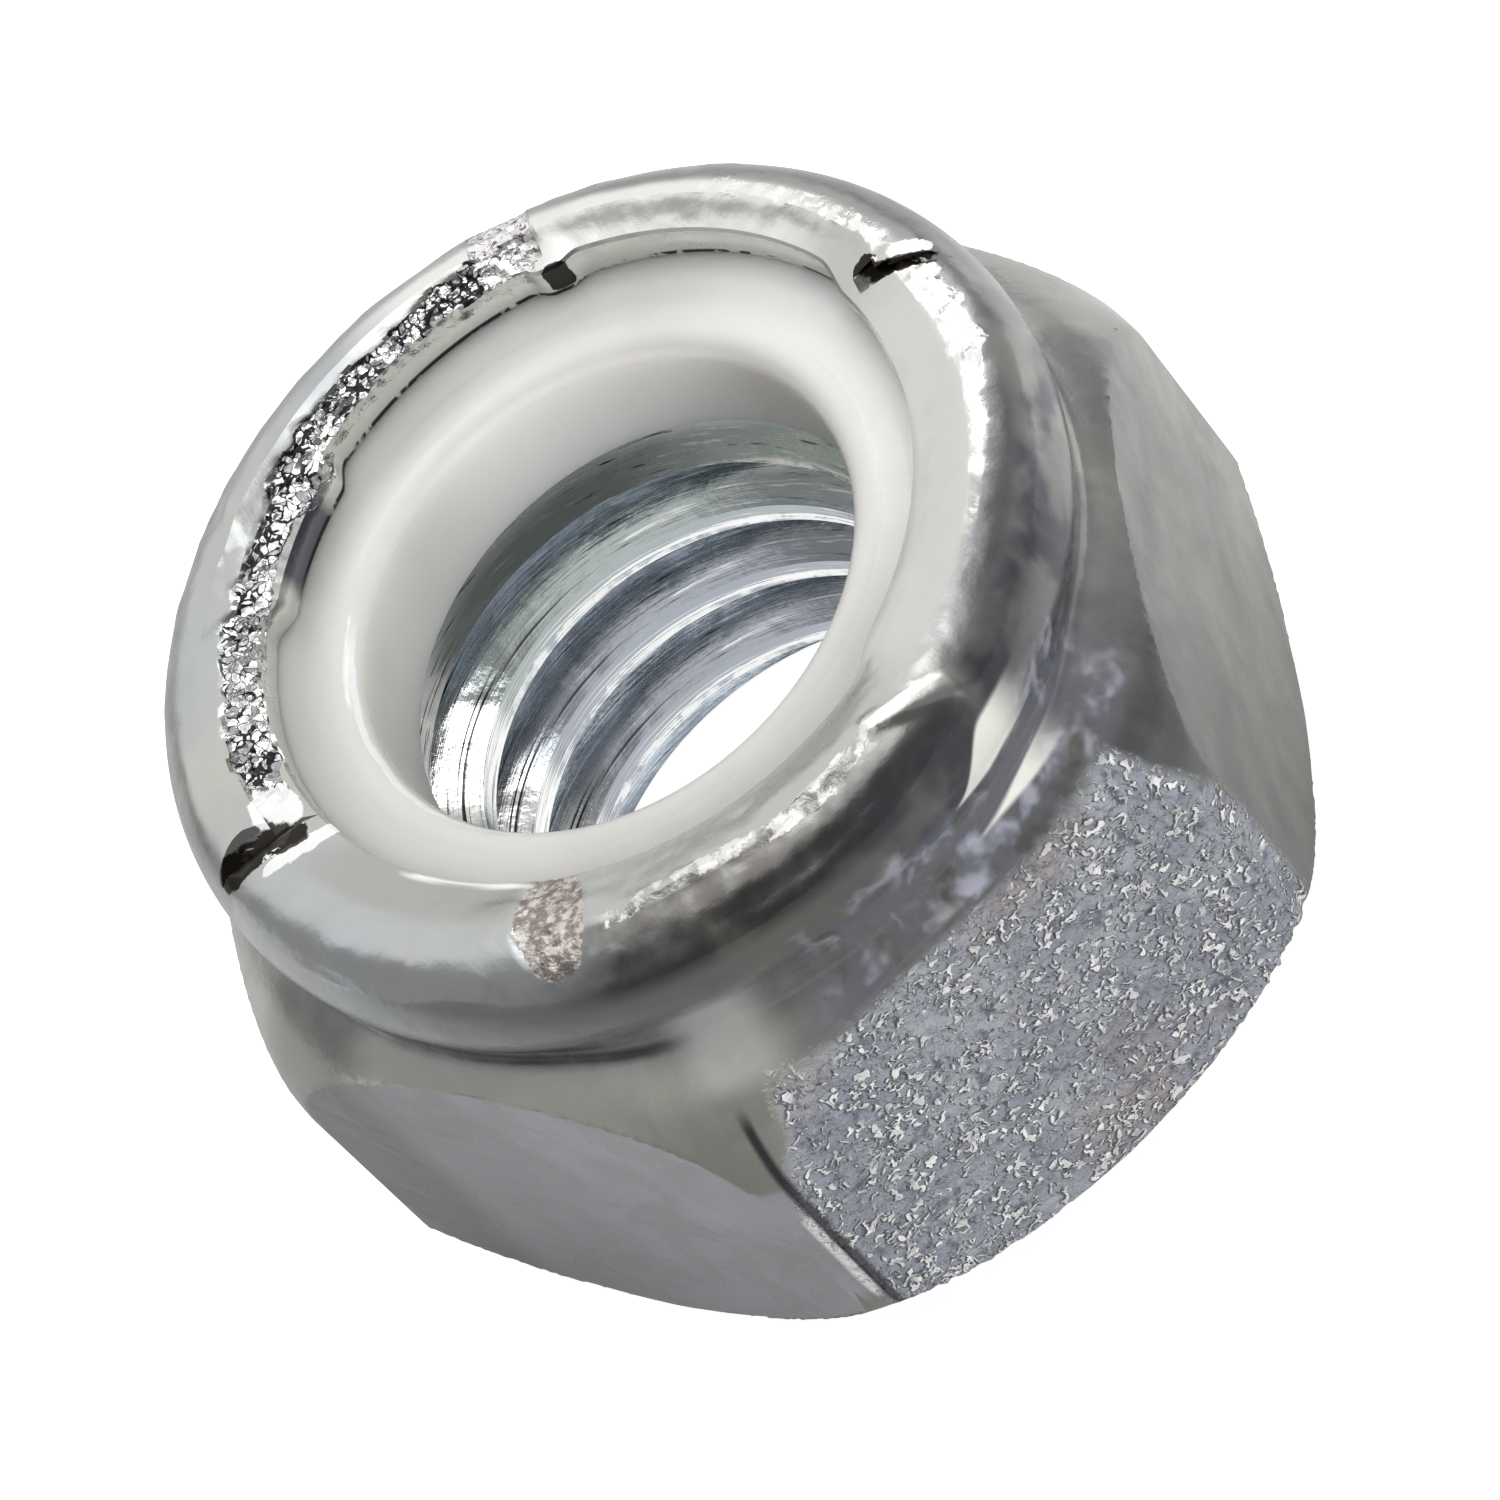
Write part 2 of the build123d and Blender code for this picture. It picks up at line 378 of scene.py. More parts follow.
# %% The soft folds
azimuth, radius, height = lay_of(body)
on_lip = step(height, 7.98, 8.04) * (radius > 4.2)
dent(body, "uneven_lip", on_lip * step(radius, 4.6, 4.8), 0.05, grain=1.1)
crosswise = hill(from_mark(azimuth + 9.0 * (radius - 5.3), 125.0), 0, 2.2, 2.0)
crosswise *= step(height, 8.05, 8.2) * step(radius, 5.0, 5.3)
dent(body, "fold_over_the_crest", crosswise, -0.045)
pressed = hill(azimuth, -103, 20, 8) * hill(radius, 5.70, 0.36, 0.16) * step(height, 7.85, 8.1)
dent(body, "pressed_shoulder", pressed, -0.07)

# %% The crushed patches and the crumbled band
dent(body, "crushed_patch", areas["crushed"], -0.06)
dent(body, "worn_patch", areas["worn"], -0.03)
dent(body, "crumbled_band", areas["band"], -0.035)
dent(body, "crumbled_band_lumps", areas["band"], 0.10, grain=0.13)
dent(body, "crushed_patch_lumps", areas["crushed"], 0.09, grain=0.12)
dent(body, "worn_patch_lumps", areas["worn"], 0.05, grain=0.10)

# %% The bright burr and the battered crest
azimuth, radius, height = lay_of(body)
along_burr = radius * np.cos(np.radians(azimuth)) - 1.05
across_burr = radius * np.sin(np.radians(azimuth)) + 5.27 + 0.19 * along_burr
burr_and_highlight = hill(along_burr, 0.55, 0.62, 0.12) * hill(across_burr, 0, 0.13, 0.09) * step(height, 7.9, 8.1)
dent(body, "bright_burr", burr_and_highlight, 0.06)
dent(body, "battered_crest", areas["row"], 0.07, grain=0.30)
dent(body, "torn_swath", np.maximum(areas["swath"], 0.6 * areas["glints"]), 0.08, grain=0.20)


# %% The chisel cuts
def chisel(name, middle, section, inner, outer, tilt, slant):
    """A wedge across the lip at this azimuth, between two radii; its section is drawn as sideways and height."""
    wedge = draw_outline(name, section + section[:1])
    bpy.ops.object.mode_set(mode="EDIT")
    bpy.ops.mesh.select_all(action="SELECT")
    bpy.ops.mesh.edge_face_add()
    bpy.ops.mesh.extrude_region_move(TRANSFORM_OT_translate={"value": (0, outer - inner, 0)})
    bpy.ops.mesh.select_all(action="SELECT")
    bpy.ops.mesh.normals_make_consistent(inside=False)
    bpy.ops.transform.rotate(value=-math.radians(tilt), orient_axis="X", center_override=(0, 0, 8.2))
    bpy.ops.object.mode_set(mode="OBJECT")
    wedge.rotation_euler = (0, 0, math.radians(middle - 90 + slant))
    wedge.location = outward(middle, inner, 0)
    return wedge


def cut_away(piece, tool, name):
    """Takes the tool out of the piece and removes the tool."""
    bpy.context.view_layer.update()
    bpy.context.view_layer.objects.active = piece
    difference = piece.modifiers.new(name, "BOOLEAN")
    difference.operation = "DIFFERENCE"
    difference.solver = "EXACT"
    difference.object = tool
    bpy.ops.object.modifier_apply(modifier=name)
    bpy.data.objects.remove(tool)
    print(f"{piece.name} after {name}: {len(piece.data.polygons)} faces, open edges: {open_ends(piece)}")


ABOVE = 8.75
right_section = [(-0.17, ABOVE), (-0.12, 8.30), (0.0, 8.10), (0.07, 8.26), (0.11, ABOVE)]
right_flake_section = [(-0.15, ABOVE), (-0.11, 8.26), (0.04, 8.10), (0.20, 8.30), (0.24, ABOVE)]
left_section = [(-0.28, ABOVE), (-0.22, 8.27), (0.0, 8.19), (0.03, 8.05), (0.40, 8.43), (0.44, ABOVE)]
left_flake_section = [(-0.34, ABOVE), (-0.30, 8.12), (0.30, 8.15), (0.34, ABOVE)]
cuts = (
    ("right_cut", 0.9, right_section, 4.90, 6.05, 0, -28),
    ("right_flake", 2.4, right_flake_section, 4.84, 5.18, 8, -18),
    ("left_cut", 178.6, left_section, 4.40, 5.98, 3, -4),
    ("left_flake", 174.0, left_flake_section, 4.30, 5.02, 4, 0),
)
for name, *shape in cuts:
    cut_away(body, chisel(name, *shape), name)

# %% [markdown]
# ## The thread
#
# The thread is cut by a tap, and the tap is modelled first: one tooth of its outline, exactly one pitch tall, is
# carried up a helix by the Screw modifier, so that neighbouring turns join into one skin.  Its two ends are cut
# flat outside the steel.  A Boolean then takes the tap out of the body, as the real one takes out the steel.

# %% The tap
TAP_STEPS = 240
FLANK_RUN = (THREAD_ROOT - THREAD_CREST) * math.tan(math.radians(30))
CREST_LAND = PITCH / 4
ROOT_LAND = PITCH - CREST_LAND - 2 * FLANK_RUN
CREST_EDGE = 4.01 - 5 * PITCH - PITCH / 4
TAP_CORE = THREAD_CREST - 0.01
tap_outline = [
    (TAP_CORE, CREST_EDGE),
    (TAP_CORE, CREST_EDGE + CREST_LAND),
    (THREAD_ROOT, CREST_EDGE + CREST_LAND + FLANK_RUN),
    (THREAD_ROOT, CREST_EDGE + CREST_LAND + FLANK_RUN + ROOT_LAND),
    (TAP_CORE, CREST_EDGE + PITCH),
]
tap = draw_outline("tap", tap_outline)
helix = tap.modifiers.new("helix", "SCREW")
helix.angle = math.tau
helix.screw_offset = PITCH
helix.iterations = 9
helix.steps = TAP_STEPS
helix.render_steps = TAP_STEPS
helix.use_merge_vertices = False
bpy.ops.object.modifier_apply(modifier="helix")
bpy.ops.object.mode_set(mode="EDIT")
bpy.ops.mesh.select_all(action="SELECT")
bpy.ops.mesh.remove_doubles(threshold=1e-4)
TAP_BOTTOM, TAP_TOP = -0.4, 6.3
for height, up in ((TAP_BOTTOM, -1), (TAP_TOP, 1)):
    bpy.ops.mesh.select_all(action="SELECT")
    bpy.ops.mesh.bisect(
        plane_co=(0, 0, height),
        plane_no=(0, 0, up),
        use_fill=True,
        clear_outer=True,
        threshold=1e-5,
    )
bpy.ops.mesh.select_all(action="SELECT")
bpy.ops.mesh.normals_make_consistent(inside=False)
bpy.ops.object.mode_set(mode="OBJECT")
print("tap faces", len(tap.data.polygons), "open", open_ends(tap))

# %% Cutting the thread
cut_away(body, tap, "thread")

# %% [markdown]
# ## Six flats
#
# The forging die squeezes six flat sides.  Cutting them off with Bisect is the plainest way: each cut lies half the
# spanner size from the axis, drops what is outside and fills the hole, which leaves the curved ends of a real flat.
# Each new face is inset twice, so that the die's slightly soft edges have points to be rounded with.

# %% The flats
SIDE_AZIMUTHS = [60 * k + 30 for k in range(6)]
EDGE_SOFTNESS = 0.06


def side_normal(azimuth):
    return Vector((math.cos(math.radians(azimuth)), math.sin(math.radians(azimuth)), 0))


bpy.context.view_layer.objects.active = body
bpy.ops.object.mode_set(mode="EDIT")
for side in SIDE_AZIMUTHS:
    bpy.ops.mesh.select_all(action="SELECT")
    bpy.ops.mesh.bisect(
        plane_co=side_normal(side) * APOTHEM,
        plane_no=side_normal(side),
        use_fill=True,
        clear_outer=True,
        threshold=1e-5,
    )
    bpy.ops.mesh.remove_doubles(threshold=0.01)
    bpy.ops.mesh.select_mode(type="FACE")
    bpy.ops.mesh.inset(thickness=EDGE_SOFTNESS)
    bpy.ops.mesh.inset(thickness=EDGE_SOFTNESS)
    bpy.ops.mesh.select_mode(type="VERT")
bpy.ops.object.mode_set(mode="OBJECT")
print(f"steel_body: {len(body.data.polygons)} faces, open edges: {open_ends(body)}")


# %% [markdown]
# ## Slicing the flats
#
# A flat cut by Bisect is one large face with a hundred corners, which shades badly and can't take any relief.  More
# cuts, with nothing filled or removed, slice it into small squares.  Everything else is hidden meanwhile, because
# hidden faces are left alone.

# %% Slicing
def slice_side(piece, side, spacing):
    """Cuts one flat into a grid with this spacing in millimetres."""
    normal = side_normal(side)
    along = Vector((-normal.y, normal.x, 0))
    flat = [
        abs(face.normal.dot(normal) - 1) < 1e-4 and face.center.dot(normal) > APOTHEM - 0.01
        for face in piece.data.polygons
    ]
    bpy.ops.object.mode_set(mode="EDIT")
    bpy.ops.mesh.select_mode(type="FACE")
    bpy.ops.mesh.select_all(action="DESELECT")
    bpy.ops.object.mode_set(mode="OBJECT")
    piece.data.polygons.foreach_set("select", flat)
    bpy.ops.object.mode_set(mode="EDIT")
    bpy.ops.mesh.hide(unselected=True)
    half_length = math.sqrt(CORNER_RADIUS**2 - APOTHEM**2)
    columns = round(half_length / spacing)
    for i in range(1 - columns, columns):
        bpy.ops.mesh.select_all(action="SELECT")
        bpy.ops.mesh.bisect(plane_co=along * (half_length * i / columns), plane_no=along, threshold=1e-5)
    rows = round(NECK_BASE / spacing)
    for i in range(1, rows):
        bpy.ops.mesh.select_all(action="SELECT")
        bpy.ops.mesh.bisect(plane_co=(0, 0, NECK_BASE * (i + 0.37) / rows), plane_no=(0, 0, 1), threshold=1e-5)
    bpy.ops.mesh.reveal(select=False)
    bpy.ops.mesh.select_mode(type="VERT")
    bpy.ops.object.mode_set(mode="OBJECT")


ROUGH_SIDE = -90
FINE_GRID, COARSE_GRID = 0.085, 0.4
for side in SIDE_AZIMUTHS:
    is_rough = side % 360 == ROUGH_SIDE % 360
    slice_side(body, side, FINE_GRID if is_rough else COARSE_GRID)
print(f"steel_body: {len(body.data.polygons)} faces, open edges: {open_ends(body)}")

# %% Soft edges of the die
def smooth_over(piece, chosen, sharpness, factor, repeat):
    """Rounds the edges sharper than this between the chosen points, or all chosen points if there is no sharpness."""
    pick(piece, chosen)
    if sharpness:
        bpy.ops.mesh.hide(unselected=True)
        bpy.ops.mesh.select_all(action="DESELECT")
        bpy.ops.mesh.select_mode(type="EDGE")
        bpy.ops.mesh.edges_select_sharp(sharpness=math.radians(sharpness))
        bpy.ops.mesh.select_mode(type="VERT")
    bpy.ops.mesh.vertices_smooth(factor=factor, repeat=repeat)
    bpy.ops.mesh.reveal(select=False)
    bpy.ops.object.mode_set(mode="OBJECT")


azimuth, radius, height = lay_of(body)
smooth_over(body, (radius > 6.2) & (height > 0.02) & (height < NECK_BASE - 0.1), 18, 0.5, 2)
azimuth, radius, height = lay_of(body)
rough_crown = (abs(from_mark(azimuth, -89)) < 31) & (height > 5.0) & (height < 6.25) & (radius > 6.25)
smooth_over(body, rough_crown, 0, 0.5, 12)
azimuth, radius, height = lay_of(body)
neck_fill = hill(from_mark(azimuth, -93), 0, 38, 8) * hill(height, 6.58, 0.22, 0.16) * step(radius, 5.9, 5.93)
dent(body, "filled_neck", neck_fill, 0.10)

# %% [markdown]
# ## Rough side
#
# One of the flats, with its half of each corner and the crown above it, is as rough as a casting: the zinc has grown
# in grains there.  A Displace modifier lifts the grid of small squares along its normals by a cloud texture, and a
# vertex group keeps it to that side.

# %% Grain of the rough side
ROUGH_MIDDLE = -88.6
azimuth, radius, height = lay_of(body)
fade = 1 - step(height - 0.05 * unevenness(body, 0.5), 5.70, 5.95)
aside = hill(from_mark(azimuth, ROUGH_MIDDLE), 0, 29.6 - 5.5 * step(height, 3.4, 5.9), 2.2)
low = step(height, 0.1, 1.3)
dent(body, "rough_side_lumps", fade * aside * low * step(radius, 6.0, 6.1), 0.13, grain=0.15)

# %% [markdown]
# ## Back to the real size
#
# Up to here one unit has stood for a millimetre, because Blender's tools round off lengths far below that.  The
# finished mesh is now shrunk to metres about the origin, in edit mode, so that the object itself stays unscaled.

# %% Shrinking to metres
def to_metres(piece):
    """Shrinks a finished mesh from millimetres to metres and shades it smooth except at real edges."""
    bpy.ops.object.select_all(action="DESELECT")
    piece.select_set(True)
    bpy.context.view_layer.objects.active = piece
    bpy.ops.object.mode_set(mode="EDIT")
    bpy.ops.mesh.select_all(action="SELECT")
    bpy.ops.transform.resize(value=(MM, MM, MM), center_override=(0, 0, 0))
    bpy.ops.object.mode_set(mode="OBJECT")
    bpy.ops.object.shade_smooth_by_angle(angle=math.radians(20))


def merge_close_points(piece, distance):
    """Merges points that the cuts have left almost on top of each other, and points all faces outward again."""
    bpy.ops.object.select_all(action="DESELECT")
    piece.select_set(True)
    bpy.context.view_layer.objects.active = piece
    bpy.ops.object.mode_set(mode="EDIT")
    bpy.ops.mesh.select_mode(type="VERT")
    bpy.ops.mesh.select_all(action="SELECT")
    bpy.ops.mesh.remove_doubles(threshold=distance)
    bpy.ops.mesh.normals_make_consistent(inside=False)
    bpy.ops.object.mode_set(mode="OBJECT")
    print(f"{piece.name}: {len(piece.data.vertices)} points, open edges: {open_ends(piece)}")


merge_close_points(body, 0.0015)
worn_and_painted_light_areas = lip_areas(body)
to_metres(body)

# %% [markdown]
# ## The nylon ring
#
# The ring is turned from a nylon tube.  Its hole is a little smaller than the bolt, and the upper rim of the hole is
# rounded over, where the nylon has flowed.

# %% Turned nylon ring
nylon_outline = (
    [(INSERT_BORE, 6.08)]
    + straight((INSERT_BORE, 6.08), (INSERT_BORE, 7.52), 6)
    + arc((INSERT_BORE, 7.52), (3.74, 7.82), -0.09, 12)
    + arc((3.74, 7.82), (4.26, 7.708), -0.012, 10)
    + [(4.93, 7.70), (INSERT_RADIUS, 7.66), (INSERT_RADIUS, 6.08), (4.80, POCKET_FLOOR), (3.59, POCKET_FLOOR)]
    + [(INSERT_BORE, 6.08)]
)
ring = draw_outline("nylon_ring", nylon_outline)
turn(ring, 180)
print("open edges:", open_ends(ring))
to_metres(ring)

# %% [markdown]
# ## Node helpers
#
# The finishes are node materials.  Dragging nodes about by hand would do as well, but a few small functions keep the
# recipe readable: each one adds a node, links whatever is a socket and writes down whatever is a number.

# %% Node helpers
class Nodes:
    """A node tree, with the few kinds of node that every finish here is made of."""

    def __init__(self, tree):
        self.tree = tree

    def add(self, kind, sockets=None, **settings):
        """A node with these settings; each socket is linked or given its value."""
        node = self.tree.nodes.new(kind)
        for name, value in settings.items():
            setattr(node, name, value)
        for name, value in (sockets or {}).items():
            if isinstance(value, bpy.types.NodeSocket):
                self.tree.links.new(value, node.inputs[name])
            else:
                node.inputs[name].default_value = value
        return node

    def math(self, operation, *values):
        return self.add("ShaderNodeMath", dict(enumerate(values)), operation=operation).outputs[0]

    def plus(self, a, b):
        return self.math("ADD", a, b)

    def minus(self, a, b):
        return self.math("SUBTRACT", a, b)

    def times(self, a, b):
        return self.math("MULTIPLY", a, b)

    def size_of(self, value):
        return self.math("ABSOLUTE", value)

    def vector(self, operation, *values, result="Vector"):
        return self.add("ShaderNodeVectorMath", dict(enumerate(values)), operation=operation).outputs[result]

    def ramp(self, value, low, high, bottom=0.0, top=1.0):
        """Goes smoothly from bottom to top while value goes from low to high."""
        sockets = {"Value": value, "From Min": low, "From Max": high, "To Min": bottom, "To Max": top}
        return self.add("ShaderNodeMapRange", sockets, interpolation_type="SMOOTHSTEP").outputs[0]

    def blend(self, factor, a, b):
        """Numbers a and b mixed by factor."""
        return self.add("ShaderNodeMix", {"Factor": factor, "A": a, "B": b}, data_type="FLOAT").outputs[0]

    def both(self, *masks):
        """1 where all these masks are 1."""
        result = masks[0]
        for mask in masks[1:]:
            result = self.times(result, mask)
        return result

    def either(self, *masks):
        """1 where any of these masks is 1."""
        result = masks[0]
        for mask in masks[1:]:
            result = self.math("MAXIMUM", result, mask)
        return result


class Recipe(Nodes):
    """The finish of one piece, with the piece's own coordinates in millimetres at hand."""

    def __init__(self, name):
        self.material = bpy.data.materials.new(name)
        self.material.use_nodes = True
        super().__init__(self.material.node_tree)
        self.skin = self.tree.nodes["Principled BSDF"]
        place = self.add("ShaderNodeTexCoord").outputs["Object"]
        self.place = self.vector("MULTIPLY", place, (1 / MM,) * 3)
        self.x, self.y, self.z = self.add("ShaderNodeSeparateXYZ", {"Vector": self.place}).outputs
        self.level_place = self.vector("MULTIPLY", self.place, (1, 1, 0))
        self.radius = self.vector("LENGTH", self.level_place, result="Value")
        self.azimuth = self.math("DEGREES", self.math("ARCTAN2", self.y, self.x))

    def noise(self, scale, detail=2.0, roughness=0.5, distortion=0.0, at=None, output="Fac"):
        """Soft noise from 0 to 1 whose lumps are about 1 / scale millimetres wide."""
        sockets = {"Vector": at or self.place, "Scale": scale, "Detail": detail}
        sockets |= {"Roughness": roughness, "Distortion": distortion}
        return self.add("ShaderNodeTexNoise", sockets).outputs[output]

    def cells(self, scale, at, output, feature="F1"):
        """Cells like chips, about 1 / scale millimetres wide."""
        return self.add("ShaderNodeTexVoronoi", {"Vector": at, "Scale": scale}, feature=feature).outputs[output]

    def centred(self, value, size):
        """A noise value moved to lie evenly round zero, at this size."""
        return self.math("MULTIPLY_ADD", value, 2.0 * size, -size)

    def mix(self, factor, a, b):
        """Colours a and b mixed by factor."""
        node = self.add("ShaderNodeMix", {"Factor": factor}, data_type="RGBA")
        for name, value in (("A", a), ("B", b)):
            socket = next(s for s in node.inputs if s.name == name and s.type == "RGBA")
            if isinstance(value, bpy.types.NodeSocket):
                self.tree.links.new(value, socket)
            else:
                socket.default_value = (*value, 1)
        return next(s for s in node.outputs if s.type == "RGBA")

    def coat(self, where, colour, share=None):
        """Lays a colour over the finish so far where the mask says; a share makes the coat thinner."""
        if share is not None:
            where = self.times(where, share)
        self.colour = self.mix(where, self.colour, colour)

    def sector(self, middle, half, soft, wobble=None):
        """1 within half a sector of this azimuth, and 0 outside."""
        off = self.size_of(self.math("WRAP", self.minus(self.azimuth, middle), 180.0, -180.0))
        if wobble is not None:
            off = self.plus(off, wobble)
        return self.ramp(off, half - soft, half + soft, 1.0, 0.0)

    def between(self, value, low, high, soft):
        """1 while value is between low and high, and 0 outside."""
        return self.times(self.over(value, low - soft, low + soft), self.under(value, high - soft, high + soft))

    def over(self, value, low, high):
        """0 below low and 1 above high."""
        return self.ramp(value, low, high)

    def under(self, value, low, high):
        """1 below low and 0 above high."""
        return self.ramp(value, low, high, 1.0, 0.0)

    def painted(self, name, ragged=None):
        """Where this area was painted on the piece's own points, with an edge made ragged by a centred noise."""
        paint = self.add("ShaderNodeAttribute", attribute_name=name).outputs["Fac"]
        return paint if ragged is None else self.ramp(self.plus(paint, ragged), 0.40, 0.60)

    def bump(self, height, distance, normal=None):
        """Relief of this height in millimetres on top of another relief."""
        sockets = {"Height": height, "Distance": distance * MM, "Strength": 1.0}
        if normal is not None:
            sockets["Normal"] = normal
        return self.add("ShaderNodeBump", sockets).outputs[0]

    def finish(self, **sockets):
        """Joins these to the skin and gives back the material."""
        names = {"colour": "Base Color", "roughness": "Roughness", "normal": "Normal", "metal": "Metallic"}
        for name, value in sockets.items():
            socket = self.skin.inputs[names[name]]
            if isinstance(value, bpy.types.NodeSocket):
                self.tree.links.new(value, socket)
            else:
                socket.default_value = value
        print(f"{self.material.name}: {len(self.tree.nodes)} nodes")
        return self.material


# %% Painting the worn areas and the areas of painted light and shade
def paint(piece, name, weights):
    """Keeps these weights on the piece's points under this name, for its finish to read."""
    layer = piece.data.attributes.new(name, "FLOAT", "POINT")
    layer.data.foreach_set("value", weights)


for name, weights in worn_and_painted_light_areas.items():
    paint(body, name, weights)
print("painted areas:", len(worn_and_painted_light_areas))

# %% [markdown]
# ## The zinc
#
# The whole body is plated with zinc, but the plating looks different from place to place: clouded on the flats and
# the collar, full of grains on the rough side, struck and torn on the lip, and streaked in the bore.  In all four
# places some highlights, shade and reflections are painted into the colour too.  One material could hold all of it,
# but every node is worked out at every point that a ray meets, and the render would take much longer.  So the layers
# are written as functions, and each of four materials calls only those that lie on its own faces.  Where two
# materials meet they have the same layers, so no seam shows.

# %% What all the zinc shares
def zinc_recipe(name):
    """A recipe with the noises and masks that more than one zinc finish needs."""
    zinc = Recipe(name)
    zinc.blotches = zinc.noise(0.9, 3, 0.6, 0.6)
    zinc.ragged = zinc.centred(zinc.noise(2.2, 3, 0.6), 1.0)
    zinc.coarse = zinc.noise(3.0, 3, 0.6, 0.5)
    zinc.outside = zinc.over(zinc.radius, 5.3, 5.5)
    normal = zinc.add("ShaderNodeNewGeometry").outputs["Normal"]
    zinc.upward = zinc.add("ShaderNodeSeparateXYZ", {"Vector": normal}).outputs["Z"]
    zinc.plain_roughness = zinc.ramp(zinc.blotches, 0.3, 0.75, 0.20, 0.32)
    soft_waves = zinc.bump(zinc.noise(0.8, 2, 0.5, 0.4), 0.05)
    zinc.relief = zinc.bump(zinc.noise(9.0, 3, 0.6), 0.004, soft_waves)
    return zinc


def grain_height(zinc):
    """Coarse and fine lumps of zinc that has grown or been crushed."""
    coarse_lumps = zinc.centred(zinc.noise(3.6, 4, 0.62, 0.8), 0.5)
    return zinc.plus(coarse_lumps, zinc.centred(zinc.noise(8.0, 3, 0.6, 0.5), 0.25))


# %% [markdown]
# ## Clouded plating
#
# The plating on the outside is a dull mirror with clouds of olive and blue grey.  It has painted shade in the neck and
# under the collar on the left, mottled painted dark reflections on the collar and in the neck below it, frost near
# the burr, and a mottled painted dark reflection on the shoulder above the rough side.  Each of these is a coat laid
# over the last one through a mask, and the mask is a sector of the nut, a range of heights and a noise, multiplied.

# %% Clouded plating
OLIVE_GREY = (0.53, 0.54, 0.505)
BLUE_GREY = (0.50, 0.52, 0.54)


def plate_sides(zinc):
    """Base colour of the plating, the clouds on the sides of the hexagon, and painted shade under the collar on the
    left.
    """
    lumps = zinc.noise(0.35, 2)
    cool = zinc.over(zinc.plus(lumps, zinc.times(zinc.blotches, 0.3)), 0.5, 0.8)
    zinc.colour = zinc.mix(cool, OLIVE_GREY, BLUE_GREY)
    left_side = zinc.both(zinc.sector(-146, 35, 3, zinc.ragged), zinc.under(zinc.z, 6.0, 6.6))
    on_flat = zinc.under(zinc.size_of(zinc.upward), 0.05, 0.12)
    cloud = zinc.over(zinc.noise(0.45, 3, 0.55, 0.3), 0.35, 0.65)
    crown_colour = zinc.mix(cloud, (0.52, 0.53, 0.48), (0.68, 0.69, 0.62))
    along_flat = zinc.over(zinc.plus(zinc.azimuth, zinc.times(zinc.ragged, 5.0)), -168.0, -124.0)
    flat_colour = zinc.mix(along_flat, (0.40, 0.42, 0.45), (0.78, 0.79, 0.84))
    zinc.coat(zinc.both(left_side, zinc.outside), zinc.mix(on_flat, crown_colour, flat_colour))
    # Painted shade in the groove under the collar on the left.
    groove_height = zinc.plus(zinc.z, zinc.times(zinc.ragged, 0.03))
    groove_shade = zinc.both(
        zinc.sector(-152, 30, 4, zinc.ragged),
        zinc.between(groove_height, 6.38, 6.60, 0.07),
        zinc.under(zinc.radius, 6.08, 6.16),
        zinc.outside,
    )
    zinc.coat(groove_shade, (0.15, 0.155, 0.15))
    # Painted shade on the far left of the collar and the crown below it.
    far_left_shade = zinc.both(zinc.sector(-175, 8, 4, zinc.ragged), zinc.under(zinc.z, 7.4, 7.7), zinc.outside)
    zinc.coat(far_left_shade, (0.20, 0.22, 0.21), 0.8)
    right_side = zinc.both(zinc.sector(-30, 29, 2), zinc.under(zinc.z, 6.2, 6.6), zinc.outside)
    zinc.coat(right_side, zinc.mix(cloud, (0.43, 0.43, 0.42), (0.64, 0.65, 0.61)))


def patch(zinc, sector, heights, noise, low, high):
    """A blotchy patch on the outside: a sector, a range of heights, and a noise between two levels."""
    return zinc.both(
        zinc.sector(*sector, zinc.ragged),
        zinc.between(zinc.z, *heights),
        zinc.outside,
        zinc.over(zinc.noise(*noise), low, high),
    )


def plate_collar(zinc):
    """Painted shade in the neck, mottled painted dark reflections on the collar and below it, frost on the collar, and
    a painted dark reflection above the rough side.
    """
    zinc.coat(patch(zinc, (-34, 27, 7), (5.0, 7.0, 0.4), (0.9, 3, 0.55), 0.38, 0.58), (0.26, 0.26, 0.29), 0.5)
    zinc.coat(zinc.over(zinc.blotches, 0.35, 0.7), (0.42, 0.42, 0.41), 0.3)
    # Painted dark reflection, mottled, on the shoulder above the rough side.
    dark_reflection_mottle = zinc.ramp(zinc.noise(1.7, 2, 0.5, 0.2), 0.30, 0.60, 0.45, 1.0)
    if zinc.on_lip:
        zinc.coat(zinc.times(zinc.painted("shoulder_dark_reflection"), dark_reflection_mottle), (0.21, 0.20, 0.195))
    # Painted dark reflection, mottled, on the collar and under the lip on the right.
    mottled_dark_reflection = zinc.both(
        zinc.sector(-52, 40, 12, zinc.ragged),
        zinc.between(zinc.z, 6.9, 8.25, 0.12),
        zinc.over(zinc.radius, 5.62, 5.74),
        zinc.over(zinc.noise(1.3, 2, 0.5, 0.2), 0.40, 0.64),
    )
    zinc.coat(mottled_dark_reflection, (0.22, 0.22, 0.26), 0.85)
    # Painted dark reflection, mottled, in the neck below the collar at the front.
    zinc.dim = patch(zinc, (-80, 28, 7), (5.85, 7.1, 0.15), (1.6, 3, 0.55, 0.2), 0.36, 0.56)
    zinc.coat(zinc.dim, (0.32, 0.33, 0.39), 0.8)
    zinc.frost = patch(zinc, (-78, 26, 5), (5.9, 7.4, 0.15), (2.2, 2, 0.5, 0.3), 0.50, 0.72)
    zinc.coat(zinc.frost, (0.62, 0.62, 0.74), 0.8)


